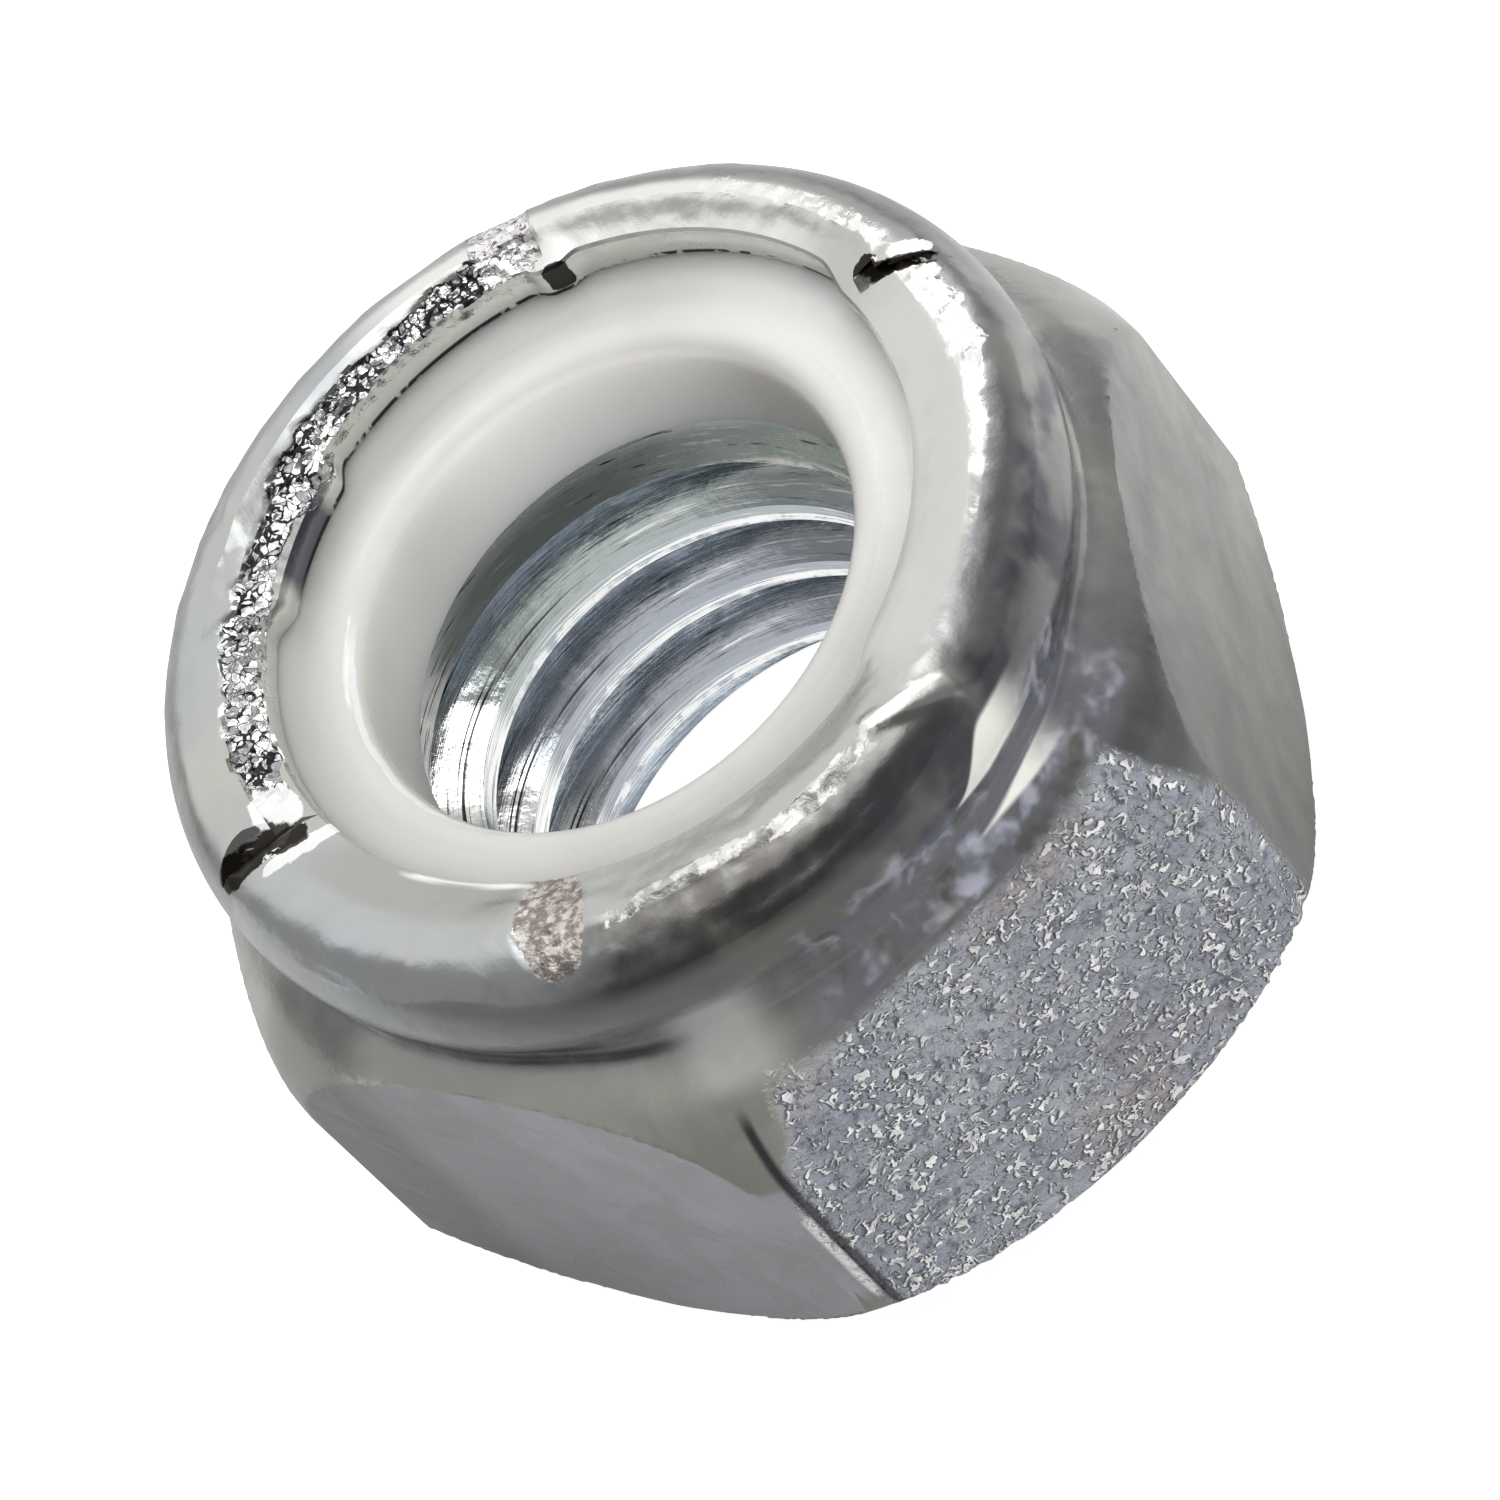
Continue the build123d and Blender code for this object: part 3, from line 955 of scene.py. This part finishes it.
def plate_metal(zinc):
    """How metallic the plating is: cloudy zinc is a little less so."""
    satin = zinc.both(zinc.sector(-138, 34, 8, zinc.ragged), zinc.under(zinc.z, 6.2, 6.5), zinc.outside)
    zinc.metal = zinc.blend(satin, 1.0, 0.80)
    zinc.metal = zinc.blend(zinc.times(zinc.dim, 0.25), zinc.metal, 0.1)
    pale_neck = zinc.both(zinc.sector(-116, 5, 3), zinc.between(zinc.z, 5.9, 7.0, 0.15), zinc.outside)
    zinc.metal = zinc.blend(pale_neck, zinc.metal, 0.35)


# %% [markdown]
# ## Painted cream reflections
#
# Beside the burr two cream-coloured streaks of reflected light are painted on the plating, an upper one that
# widens like a wedge and a thin lower one.  They are drawn with plain arithmetic on azimuth and height, because a
# noise has no such edges.

# %% Painted cream reflections
def wedge_streak(zinc, from_tip, line, width, soft):
    """A streak along this line of heights that is this wide; both change with the angle from its tip."""
    off = zinc.size_of(zinc.minus(zinc.z, line))
    return zinc.under(zinc.minus(off, zinc.ramp(from_tip, *width)), -soft, soft)


def painted_cream_reflections(zinc):
    """Lays both painted cream reflections over the plating and gives back where they are."""
    from_tip = zinc.plus(zinc.azimuth, 78.5)
    upper_reflection = wedge_streak(zinc, from_tip, zinc.ramp(from_tip, 0.0, 9.0, 7.02, 7.34), (-1.0, 8.0, 0.0, 0.36), 0.05)
    lower_reflection = wedge_streak(zinc, from_tip, 6.34, (-1.5, 14.0, 0.0, 0.11), 0.03)
    cream = zinc.both(
        zinc.either(upper_reflection, lower_reflection),
        zinc.over(from_tip, -1.0, 0.5),
        zinc.under(from_tip, 8.5, 18.0),
        zinc.outside,
    )
    zinc.coat(cream, (1.0, 0.99, 0.92))
    return cream


# %% The plain finish
def plated(name, on_lip=False):
    """A recipe with the clouded plating in it."""
    zinc = zinc_recipe(name)
    zinc.on_lip = on_lip
    plate_sides(zinc)
    plate_collar(zinc)
    plate_metal(zinc)
    return zinc


def done(zinc, metal_mask, metal_share, roughness):
    """Ends a plated finish: its palest parts are less metallic, and so is the frost."""
    metal = zinc.blend(metal_mask, zinc.metal, metal_share)
    metal = zinc.blend(zinc.times(zinc.frost, 0.5), metal, 0.1)
    return zinc.finish(colour=zinc.colour, roughness=roughness, normal=zinc.relief, metal=metal)


plain = plated("zinc_plated_steel")
plain_zinc = done(plain, painted_cream_reflections(plain), 0.1, plain.plain_roughness)

# %% [markdown]
# ## The rough side
#
# On the rough side the zinc stands in beads and curled shells on a blue-grey ground, painted bright as glints, each
# with a painted shade at its lower right.  The beads are the peaks of one noise and the shells those of a distorted
# one.  The shade is the same noise read a hair's breadth away, so that it always lies at the edge of what casts it.

# %% The rough side's finish
def bead_masks(zinc, at, bead_low, bead_high, shell_low, shell_high):
    """Where beads and shells stand, as read at this place."""
    beads = zinc.over(zinc.noise(9.0, 1.5, 0.5, 0.6, at=at), bead_low, bead_high)
    return beads, zinc.over(zinc.noise(4.4, 2, 0.6, 1.8, at=at), shell_low, shell_high)


def rough_ground(zinc):
    """The blue-grey ground with its brownish and dark blotches."""
    ground = zinc.mix(zinc.over(zinc.noise(1.0, 2), 0.4, 0.65), (0.36, 0.38, 0.44), (0.47, 0.49, 0.54))
    brownish = zinc.times(zinc.over(zinc.noise(0.55, 2), 0.57, 0.68), 0.6)
    ground = zinc.mix(brownish, ground, (0.42, 0.36, 0.36))
    return zinc.mix(zinc.under(zinc.noise(3.0, 4, 0.65), 0.34, 0.48), ground, (0.20, 0.21, 0.26))


rough = plated("rough_zinc")
wobble = rough.plus(rough.times(rough.ragged, 0.8), rough.ramp(rough.z, 3.4, 5.9, 0.0, 5.5))
rough_side = rough.both(
    rough.sector(ROUGH_MIDDLE, 31.0, 1.0, wobble),
    rough.under(rough.plus(rough.z, rough.times(rough.ragged, 0.14)), 5.68, 6.0),
    rough.over(rough.radius, 5.9, 6.0),
)
beads, shells = bead_masks(rough, None, 0.555, 0.60, 0.585, 0.62)
hair_aside = rough.vector("ADD", rough.place, (0.026, 0.0, -0.026))
bead_shade, shell_shade = bead_masks(rough, hair_aside, 0.55, 0.595, 0.575, 0.61)
clusters = rough.ramp(rough.noise(1.6, 2), 0.40, 0.56, 0.1, 1.0)
# Painted highlights: the beads and shells are painted white as glints, with fleck_shade as their painted shade.
glinting_flecks = rough.either(rough.times(beads, clusters), rough.times(shells, 0.75))
fleck_shade = rough.either(rough.times(bead_shade, clusters), shell_shade)
grains_and_shade = rough.mix(rough.times(fleck_shade, 0.85), rough_ground(rough), (0.09, 0.09, 0.10))
rough.coat(rough_side, rough.mix(glinting_flecks, grains_and_shade, (0.99, 0.99, 0.99)))
corner_line = rough.both(rough.sector(-118.2, 0.55, 0.35), rough.under(rough.z, 5.4, 5.8), rough.outside)
rough.coat(corner_line, (0.10, 0.10, 0.11))
# Painted highlight: a bright strip down the rounded corner beside the rough side.
strip_heights = rough.between(rough.plus(rough.z, rough.times(rough.ragged, 0.3)), 1.6, 3.7, 0.15)
corner_highlight = rough.both(rough.sector(-119.3, 0.55, 0.25), strip_heights, rough.outside)
rough.coat(corner_highlight, (0.97, 0.96, 0.94))
rough.metal = rough.blend(rough_side, rough.metal, rough.blend(glinting_flecks, 0.10, 0.0))
rough.relief = rough.bump(rough.times(grain_height(rough), rough_side), 0.09, rough.relief)
rough.relief = rough.bump(rough.times(glinting_flecks, rough_side), 0.07, rough.relief)
rough_roughness = rough.blend(rough_side, rough.plain_roughness, rough.blend(glinting_flecks, 0.38, 0.22))
pale_parts = rough.either(painted_cream_reflections(rough), corner_highlight)
rough_zinc = done(rough, pale_parts, 0.1, rough_roughness)

# %% [markdown]
# ## The lip
#
# The struck areas of the lip, and the areas where highlights, shade and reflections are painted on it, were painted on
# its points when it was dented, so the finish only has to read them.  Their edges are made ragged by a noise.  Crushed
# metal is drawn as chips: the cells of a Voronoi texture, each with its own tone, and painted shade in cracks along
# some of their edges.  The place at which the cells are read is stirred by a noise first, because plain Voronoi cells
# look like crystals.

# %% Crushed metal
def chips(zinc):
    """Pale and grey chips with painted shade in the cracks between them."""
    swirl = zinc.vector("SUBTRACT", zinc.noise(4.0, 2.0, output="Color"), (0.5, 0.5, 0.5))
    stirred = zinc.vector("ADD", zinc.place, zinc.vector("MULTIPLY", swirl, (0.22, 0.22, 0.22)))
    chip_edge = zinc.cells(7.2, stirred, "Distance", "DISTANCE_TO_EDGE")
    tones = zinc.add("ShaderNodeSeparateColor", {"Color": zinc.cells(7.2, stirred, "Color")}).outputs
    whole = zinc.ramp(zinc.coarse, 0.42, 0.70, 0.0, 0.20)
    crack_shade = zinc.under(zinc.minus(chip_edge, whole), 0.01, 0.05)
    pale = zinc.over(zinc.plus(tones[0], zinc.centred(zinc.coarse, 0.6)), 0.18, 0.42)
    return zinc.mix(crack_shade, zinc.mix(pale, (0.40, 0.40, 0.41), (0.96, 0.96, 0.96)), (0.035, 0.035, 0.04))


def burr_highlight_streak(zinc):
    """Where a bright highlight is painted along the straight burr beside the lip, with a taper."""
    along = zinc.minus(zinc.x, 1.03)
    across = zinc.size_of(zinc.plus(zinc.plus(zinc.y, zinc.times(along, 0.20)), 5.27))
    width = zinc.plus(zinc.ramp(along, 0.0, 0.75, 0.06, 0.135), zinc.times(zinc.ragged, 0.03))
    return zinc.both(
        zinc.between(along, 0.0, 1.12, 0.05),
        zinc.under(zinc.minus(across, width), -0.02, 0.02),
        zinc.over(zinc.z, 7.8, 7.9),
    )


# %% The lip's masks
lip = plated("lip_zinc", on_lip=True)
cream = painted_cream_reflections(lip)
torn = lip.centred(lip.noise(5.5, 3, 0.65), 0.55)
band, crushed, worn, row, swath, glints, left_pit_shade, left_highlight, right_pit_shade, right_highlight, notch_shade = (
    lip.painted(name, torn)
    for name in (
        "band", "crushed", "worn", "row", "swath", "glints",
        "left_pit_shade", "left_highlight", "right_pit_shade", "right_highlight", "notch_shade",
    )
)
# Painted highlight on the torn swath beside the right cut.
swath_highlight = lip.both(swath, lip.over(lip.noise(5.0, 3, 0.6, 0.6), 0.36, 0.44))
# Painted sparkle: the glints and the battered row on the crest are painted bright.
struck_sparkle = lip.both(lip.either(glints, row), lip.over(lip.noise(3.6, 3, 0.6), 0.47, 0.58))
band_rim = lip.between(lip.plus(lip.painted("band"), torn), 0.30, 0.62, 0.05)
band_rim = lip.both(band_rim, lip.over(lip.noise(2.6, 2), 0.50, 0.58))
wall = lip.both(lip.under(lip.upward, 0.55, 0.75), lip.under(lip.radius, 5.02, 5.06), lip.over(lip.z, 7.6, 7.7))
# Painted shade where the lip's wall meets the nylon.
contact_shade = lip.both(
    wall,
    lip.sector(65, 62, 4, lip.ragged),
    lip.under(lip.z, 7.77, 7.80),
    lip.over(lip.noise(2.4, 3, 0.6), 0.42, 0.48),
)
burr_and_highlight = burr_highlight_streak(lip)
# Painted shade in the pits of the chisel cuts, with a few bright specks.
pit_shade = lip.either(left_pit_shade, right_pit_shade)
# Painted highlights on the facets beside the chisel cuts.
cut_highlights = lip.either(left_highlight, right_highlight)
print("the lip's masks:", len(lip.tree.nodes), "nodes so far")

# %% The lip's colours
patch_colour = lip.mix(lip.over(lip.noise(7.0, 3, 0.6, 1.5), 0.56, 0.62), (0.92, 0.90, 0.91), (0.22, 0.19, 0.20))
worn_colour = lip.mix(lip.over(lip.noise(7.5, 3, 0.65), 0.42, 0.62), (0.28, 0.25, 0.235), (0.68, 0.63, 0.60))
pit_shade_colour = lip.mix(lip.over(lip.noise(3.1, 3, 0.6, 0.8), 0.60, 0.66), (0.035, 0.03, 0.025), (0.90, 0.90, 0.88))
for where, colour in (
    # Painted light reflection on the far slope of the lip and on its right.
    (lip.painted("far_slope_light_reflection"), (0.84, 0.84, 0.82)),
    # Painted dark reflection on the far shoulder of the lip.
    (lip.painted("far_shoulder_dark_reflection"), (0.36, 0.36, 0.36)),
    # Painted darker reflection on the near slope of the lip.
    (lip.painted("near_slope_dark_reflection"), (0.44, 0.435, 0.42)),
    # Painted highlight on the torn swath.
    (swath_highlight, (0.95, 0.95, 0.96)),
    (lip.painted("gleam"), (0.74, 0.74, 0.75)),
    # Painted sparkle on the crest.
    (struck_sparkle, (0.84, 0.84, 0.83)),
    (worn, worn_colour),
    (band, chips(lip)),
    (band_rim, (0.06, 0.06, 0.065)),
    (crushed, patch_colour),
    # Painted dark reflection on the crest at the right.
    (lip.painted("crest_dark_reflection"), (0.27, 0.27, 0.285)),
    (wall, (0.82, 0.85, 0.81)),
    # Painted shade on the wall of the lip at the soft fold.
    (lip.both(wall, lip.sector(121, 8, 2, lip.ragged)), (0.20, 0.21, 0.25)),
    # Painted shade where the lip's wall meets the nylon, and in the notch.
    (lip.either(contact_shade, notch_shade), (0.05, 0.05, 0.05)),
    (lip.painted("mouth_glint"), (0.98, 0.98, 0.97)),
    # Painted highlight along the burr.
    (burr_and_highlight, (0.97, 0.96, 0.95)),
    # Painted highlights beside the chisel cuts.
    (cut_highlights, (0.97, 0.97, 0.97)),
    # Painted shade in the pits of the chisel cuts.
    (pit_shade, pit_shade_colour),
):
    lip.coat(where, colour)
print("the lip's colours:", len(lip.tree.nodes), "nodes so far")

# %% The lip's relief and shine
crumbled = lip.times(lip.either(band, crushed, worn), 0.4)
scuffed = lip.times(lip.either(swath, row, glints), 0.25)
lip.relief = lip.bump(lip.times(grain_height(lip), lip.either(crumbled, scuffed)), 0.09, lip.relief)
lip.metal = lip.blend(cream, lip.metal, 0.1)
lip_roughness = lip.blend(lip.either(band, crushed, burr_and_highlight), lip.plain_roughness, 0.22)
lip_roughness = lip.blend(worn, lip_roughness, 0.32)
lip_zinc = done(lip, lip.either(swath_highlight, lip.times(struck_sparkle, 0.7), cut_highlights), 0.15, lip_roughness)

# %% [markdown]
# ## The bore
#
# The tap leaves fine streaks that run along the thread.  A noise is therefore read at a place that has the thread
# unrolled in it: how far up the pitch a point lies, and its distance from the axis, are stretched, and its place
# round the axis is kept smooth.  Painted highlights on the crests, dark scratches and the painted highlight of the
# over-lit part are all taken from that noise.

# %% The bore's finish
bore = zinc_recipe("bore_zinc")
turned = bore.times(bore.azimuth, PITCH / 360)
up_the_pitch = bore.math("FRACT", bore.math("DIVIDE", bore.minus(bore.z, turned), PITCH))
round_axis = bore.vector("NORMALIZE", bore.level_place)


def along_thread(pitch_scale, radius_scale, round_scale):
    """A place for a noise whose lumps are drawn out along the thread."""
    sockets = {"X": bore.times(up_the_pitch, pitch_scale), "Y": bore.times(bore.radius, radius_scale)}
    place = bore.add("ShaderNodeCombineXYZ", sockets).outputs[0]
    return bore.vector("ADD", place, bore.vector("MULTIPLY", round_axis, (round_scale,) * 3))


streaks = bore.noise(1.0, 4, 0.65, 0.3, at=along_thread(26.0, 9.0, 2.2))
scratch_noise = bore.noise(1.0, 2, 0.55, 0.3, at=along_thread(60.0, 22.0, 3.0))
bore.colour = bore.mix(bore.over(bore.z, 3.2, 5.0), (0.38, 0.405, 0.45), (0.42, 0.47, 0.45))
# Painted light: the roots of the thread, where little light reaches, are painted lighter.
bore.coat(bore.over(bore.radius, 3.62, 3.78), (0.80, 0.84, 0.88))
bore.coat(bore.over(streaks, 0.56, 0.70), (0.80, 0.82, 0.83))
bore.coat(bore.under(streaks, 0.32, 0.40), (0.07, 0.075, 0.08))
# Painted highlights on the crests of the thread.
crest_highlight = bore.both(
    bore.under(bore.radius, 3.33, 3.37),
    bore.under(bore.plus(up_the_pitch, bore.centred(bore.coarse, 0.05)), 0.69, 0.73),
    bore.over(bore.plus(streaks, bore.times(bore.coarse, 0.5)), 0.66, 0.80),
)
bore.coat(crest_highlight, (0.90, 0.90, 0.89))
# Painted highlight on the over-lit part of the bore.
bore.coat(bore.both(bore.sector(142, 15, 5, bore.ragged), bore.over(streaks, 0.36, 0.46)), (0.95, 0.95, 0.94))
scratches = bore.both(bore.sector(142, 22, 6, bore.ragged), bore.under(scratch_noise, 0.36, 0.42))
bore.coat(scratches, (0.04, 0.045, 0.045))
bore.relief = bore.bump(streaks, 0.005, bore.relief)
bore_zinc = bore.finish(colour=bore.colour, roughness=0.14, normal=bore.relief, metal=1.0)

# %% [markdown]
# ## Laying the finishes on
#
# Which faces take which finish follows from where their centres lie.  By hand this would be a box selection and the
# Assign button, four times.

# %% Laying the finishes on
def lay_finishes(piece, finishes):
    """Gives each face the first finish whose test it passes; a test takes azimuth, radius and height."""
    centres = np.empty(len(piece.data.polygons) * 3)
    piece.data.polygons.foreach_get("center", centres)
    x, y, z = centres.reshape(-1, 3).T / MM
    azimuth, radius = np.degrees(np.arctan2(y, x)), np.hypot(x, y)
    index = np.full(len(z), -1)
    piece.data.materials.clear()
    for number, (finish, test) in enumerate(finishes):
        piece.data.materials.append(finish)
        index[(index < 0) & test(azimuth, radius, z)] = number
    piece.data.polygons.foreach_set("material_index", index)
    print({finish.name: int((index == number).sum()) for number, (finish, _) in enumerate(finishes)})


BORE_RADIUS, BORE_TOP = 4.17, 5.89
ROUGH_HALF, ROUGH_RADIUS, ROUGH_TOP = 34.5, 5.95, 6.2
LIP_FROM = 7.30


def in_bore(azimuth, radius, z):
    return (radius < BORE_RADIUS) & (z < BORE_TOP)


def on_rough_side(azimuth, radius, z):
    return (abs(azimuth - ROUGH_MIDDLE) < ROUGH_HALF) & (radius > ROUGH_RADIUS) & (z < ROUGH_TOP)


def in_lip(azimuth, radius, z):
    return z > LIP_FROM


def elsewhere(azimuth, radius, z):
    return z <= LIP_FROM


lay_finishes(
    body,
    ((bore_zinc, in_bore), (rough_zinc, on_rough_side), (lip_zinc, in_lip), (plain_zinc, elsewhere)),
)

# %% [markdown]
# ## The nylon
#
# Natural nylon is milky: light goes in, scatters and comes out a millimetre away.  That is what subsurface
# scattering does, and without it the ring would look like painted chalk.  Its rim is smoother than the rest.  A
# painted highlight runs along one side of the rim, and the right part and the far edge of the hole are painted
# lighter as painted light.

# %% The nylon's finish
nylon = Recipe("nylon")
cloudy = nylon.noise(0.5, 2)
nylon.colour = nylon.mix(nylon.over(cloudy, 0.35, 0.7), (0.69, 0.68, 0.655), (0.73, 0.72, 0.695))
# Painted light: the right part of the ring is painted lighter.
lit_right_part = nylon.both(nylon.sector(-15, 42, 20), nylon.over(nylon.radius, 3.5, 3.8))
nylon.coat(lit_right_part, (0.84, 0.83, 0.81))
# Painted light: the far edge of the hole is painted lighter.
lit_far_edge = nylon.both(nylon.sector(62, 36, 16), nylon.under(nylon.radius, 3.42, 3.5))
nylon.coat(lit_far_edge, (0.88, 0.87, 0.85))
# A painted highlight along one side of the rim of the hole.
highlight_line = nylon.plus(nylon.centred(nylon.noise(0.9, 3), 0.07), 3.50)
rim_highlight = nylon.both(
    nylon.under(nylon.size_of(nylon.minus(nylon.radius, highlight_line)), 0.02, 0.045),
    nylon.sector(-178, 42, 8),
    nylon.over(nylon.z, 7.5, 7.6),
)
nylon.coat(rim_highlight, (0.98, 0.98, 0.97))
rim = nylon.both(nylon.under(nylon.radius, 3.80, 3.95), nylon.over(nylon.z, 7.45, 7.55))
nylon_roughness = nylon.blend(rim, nylon.ramp(cloudy, 0.3, 0.7, 0.34, 0.42), 0.13)
nylon_relief = nylon.bump(nylon.noise(1.1, 3, 0.5), 0.03, nylon.bump(nylon.noise(14, 2), 0.002))
nylon.skin.inputs["Subsurface Weight"].default_value = 1.0
nylon.skin.inputs["Subsurface Radius"].default_value = (0.7, 0.65, 0.6)
nylon.skin.inputs["Subsurface Scale"].default_value = 1.6 * MM
nylon.skin.inputs["IOR"].default_value = 1.53
milky = nylon.finish(colour=nylon.colour, roughness=nylon_roughness, normal=nylon_relief)
ring.data.materials.clear()
ring.data.materials.append(milky)

# %% [markdown]
# ## Joining the imported model
#
# Each piece rides on the one body of the nut and takes the place of its plain node.

# %% Joining the imported model
for piece, node, slot in ((body, "nut_body", "zinc_plated_steel"), (ring, "nylon_insert", "nylon")):
    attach(piece, "root")
    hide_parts(node)
print("pieces:", body.name, ring.name)

# %% [markdown]
# ## Floor and light
#
# The floor is pale and white to the camera, and the light comes from soft boxes above, behind and on the left.  In
# front of the nut the surroundings are dark, as they are where a photographer stands, and that is what draws the
# dark band on the polished parts, with the painted dark reflections in the zinc.  For reflections the floor's colour
# is painted grey in front and pale behind, as painted shade, and under the bore it glows as a painted light for the
# thread.  The floor lies a hair below the nut, so that the two never share a plane.

# %% Floor
FLOOR_DROP = 0.01
bpy.ops.object.select_all(action="DESELECT")
bpy.ops.mesh.primitive_plane_add(size=2, location=(0, 0, -FLOOR_DROP * MM))
floor = bpy.context.active_object
floor.name = "floor"
pale_floor = bpy.data.materials.new("pale_floor")
pale_floor.use_nodes = True
pale_floor.node_tree.nodes.clear()
paint_floor = Nodes(pale_floor.node_tree)
place = paint_floor.add("ShaderNodeTexCoord").outputs["Object"]
backward = paint_floor.vector("DOT_PRODUCT", place, (0.2, 0.98, 0), result="Value")
# Painted shade: for reflections the floor is grey in front and pale behind.
grey = paint_floor.ramp(backward, -0.014, 0.012, 0.25, 0.90)
matt = paint_floor.add("ShaderNodeBsdfDiffuse", {"Color": grey}).outputs[0]
# Painted light: under the bore the floor glows for reflected rays, to light the thread from below.
glow_under_bore = paint_floor.ramp(paint_floor.vector("LENGTH", place, result="Value"), 0.0034, 0.0042, 1.0, 0.0)
path = paint_floor.add("ShaderNodeLightPath").outputs
seen = paint_floor.either(path["Is Camera Ray"], paint_floor.times(path["Is Glossy Ray"], glow_under_bore))
WHITE = (1, 1, 1, 1)
glow = paint_floor.add("ShaderNodeEmission", {"Color": WHITE, "Strength": paint_floor.times(seen, 0.85)}).outputs[0]
matt_and_glow = paint_floor.add("ShaderNodeAddShader", {0: matt, 1: glow}).outputs[0]
paint_floor.add("ShaderNodeOutputMaterial", {"Surface": matt_and_glow})
floor.data.materials.append(pale_floor)
print("floor material:", len(paint_floor.tree.nodes), "nodes")

# %% [markdown]
# ## Lamps
#
# Three soft boxes: a small window close above draws the bright patches on the lip and the nylon, a large one hangs
# overhead, and a fill in front lifts the pale parts that face the viewer.  The fill isn't seen in reflections,
# because a mirror would show it as a white square.

# %% Lamps
def softbox(name, place, target, size, radiance):
    """A rectangular lamp at a place that faces a target; all in millimetres, and radiance is how bright its face is."""
    away = Vector(place) - Vector(target)
    bpy.ops.object.light_add(type="AREA", location=Vector(place) * MM)
    lamp = bpy.context.active_object
    lamp.name = name
    lamp.data.shape = "RECTANGLE"
    lamp.data.size, lamp.data.size_y = size[0] * MM, size[1] * MM
    lamp.data.energy = radiance * math.pi * size[0] * size[1] * MM**2
    lamp.rotation_euler = away.to_track_quat("Z", "Y").to_euler()
    lamp.visible_camera = False
    share = radiance * size[0] * size[1] / away.length_squared / math.pi * away.normalized().z
    print(f"{name}: adds {share:.2f} to a level white surface")
    return lamp


softbox("window", (10.5, 5.7, 19.4), (-2.5, 2.5, 4.5), (5.5, 5.5), 5.0)
softbox("overhead", (40, 70, 450), (0, 0, 5), (180, 180), 1.0)
fill = softbox("fill", (110, -440, 165), (0, 0, 5), (300, 300), 6.0)
fill.visible_glossy = False

# %% [markdown]
# ## Surroundings
#
# A polished nut shows the room more than itself.  The world is a plain room that is dark in front, with a broad pale
# panel high behind the nut and a second one overhead.  Each is a smooth ramp of how closely a direction agrees with
# the panel's own, and the camera sees plain white instead.

# %% Surroundings
world = bpy.data.worlds.new("studio")
bpy.context.scene.world = world
world.use_nodes = True
room = Nodes(world.node_tree)
look = room.add("ShaderNodeTexCoord").outputs["Generated"]
height_of = room.add("ShaderNodeSeparateXYZ", {"Vector": look}).outputs["Z"]
BACK_PANEL = Vector((0.067, 0.763, 0.643)).normalized()
facing = room.vector("DOT_PRODUCT", look, BACK_PANEL, result="Value")
back_panel = room.times(room.ramp(facing, 0.52, 0.78, 0.0, 1.02), room.ramp(height_of, -0.05, 0.25, 0.62, 1.0))
top_panel = room.ramp(height_of, 0.80, 0.96, 0.0, 1.10)
FRONT = Vector((0.087, -0.996, 0.0))
frontal = room.vector("DOT_PRODUCT", look, FRONT, result="Value")
dark_front = room.ramp(frontal, 0.1, 0.7, 0.40, 0.16)
shade = room.either(back_panel, top_panel, dark_front)
camera_ray = room.add("ShaderNodeLightPath").outputs["Is Camera Ray"]
background = room.tree.nodes["Background"]
background.inputs["Color"].default_value = (1.0, 1.0, 0.985, 1)
room.tree.links.new(room.blend(camera_ray, shade, 1.0), background.inputs["Strength"])
print("surroundings:", len(room.tree.nodes), "nodes")

# %% [markdown]
# ## Camera
#
# The camera looks down on the nut from its front and is rolled to one side.  Its angle, roll and distance were
# fitted to the nut's outline.  The distance matters as much as the angle: from farther off, with a longer lens, the
# nut would look flatter.

# %% Camera
AIM_HEIGHT = 5.38
AIM_RIGHT, AIM_UP = 0.811, -0.877
CAMERA_AZIMUTH, CAMERA_ELEVATION, CAMERA_ROLL = -1.897, 48.498, -42.039
CAMERA_DISTANCE = 98.03
LENS, SENSOR = 187.18, 36
NEAREST, FARTHEST = 0.005, 10
az, el, roll = (math.radians(angle) for angle in (CAMERA_AZIMUTH, CAMERA_ELEVATION, CAMERA_ROLL))
back = Vector((math.cos(el) * math.sin(az), -math.cos(el) * math.cos(az), math.sin(el)))
right = Vector((0, 0, 1)).cross(back).normalized()
up = back.cross(right)
right, up = math.cos(roll) * right + math.sin(roll) * up, math.cos(roll) * up - math.sin(roll) * right
aim = Vector((0, 0, AIM_HEIGHT)) + right * AIM_RIGHT + up * AIM_UP
bpy.ops.object.camera_add()
camera = bpy.context.active_object
camera.data.lens, camera.data.sensor_width = LENS, SENSOR
camera.data.clip_start, camera.data.clip_end = NEAREST, FARTHEST
turned = Matrix((right, up, back)).transposed().to_4x4()
camera.matrix_world = Matrix.Translation((aim + back * CAMERA_DISTANCE) * MM) @ turned
bpy.context.scene.camera = camera
bpy.context.scene.view_settings.view_transform = "Standard"
print("camera at", [round(value / MM, 2) for value in camera.matrix_world.translation])
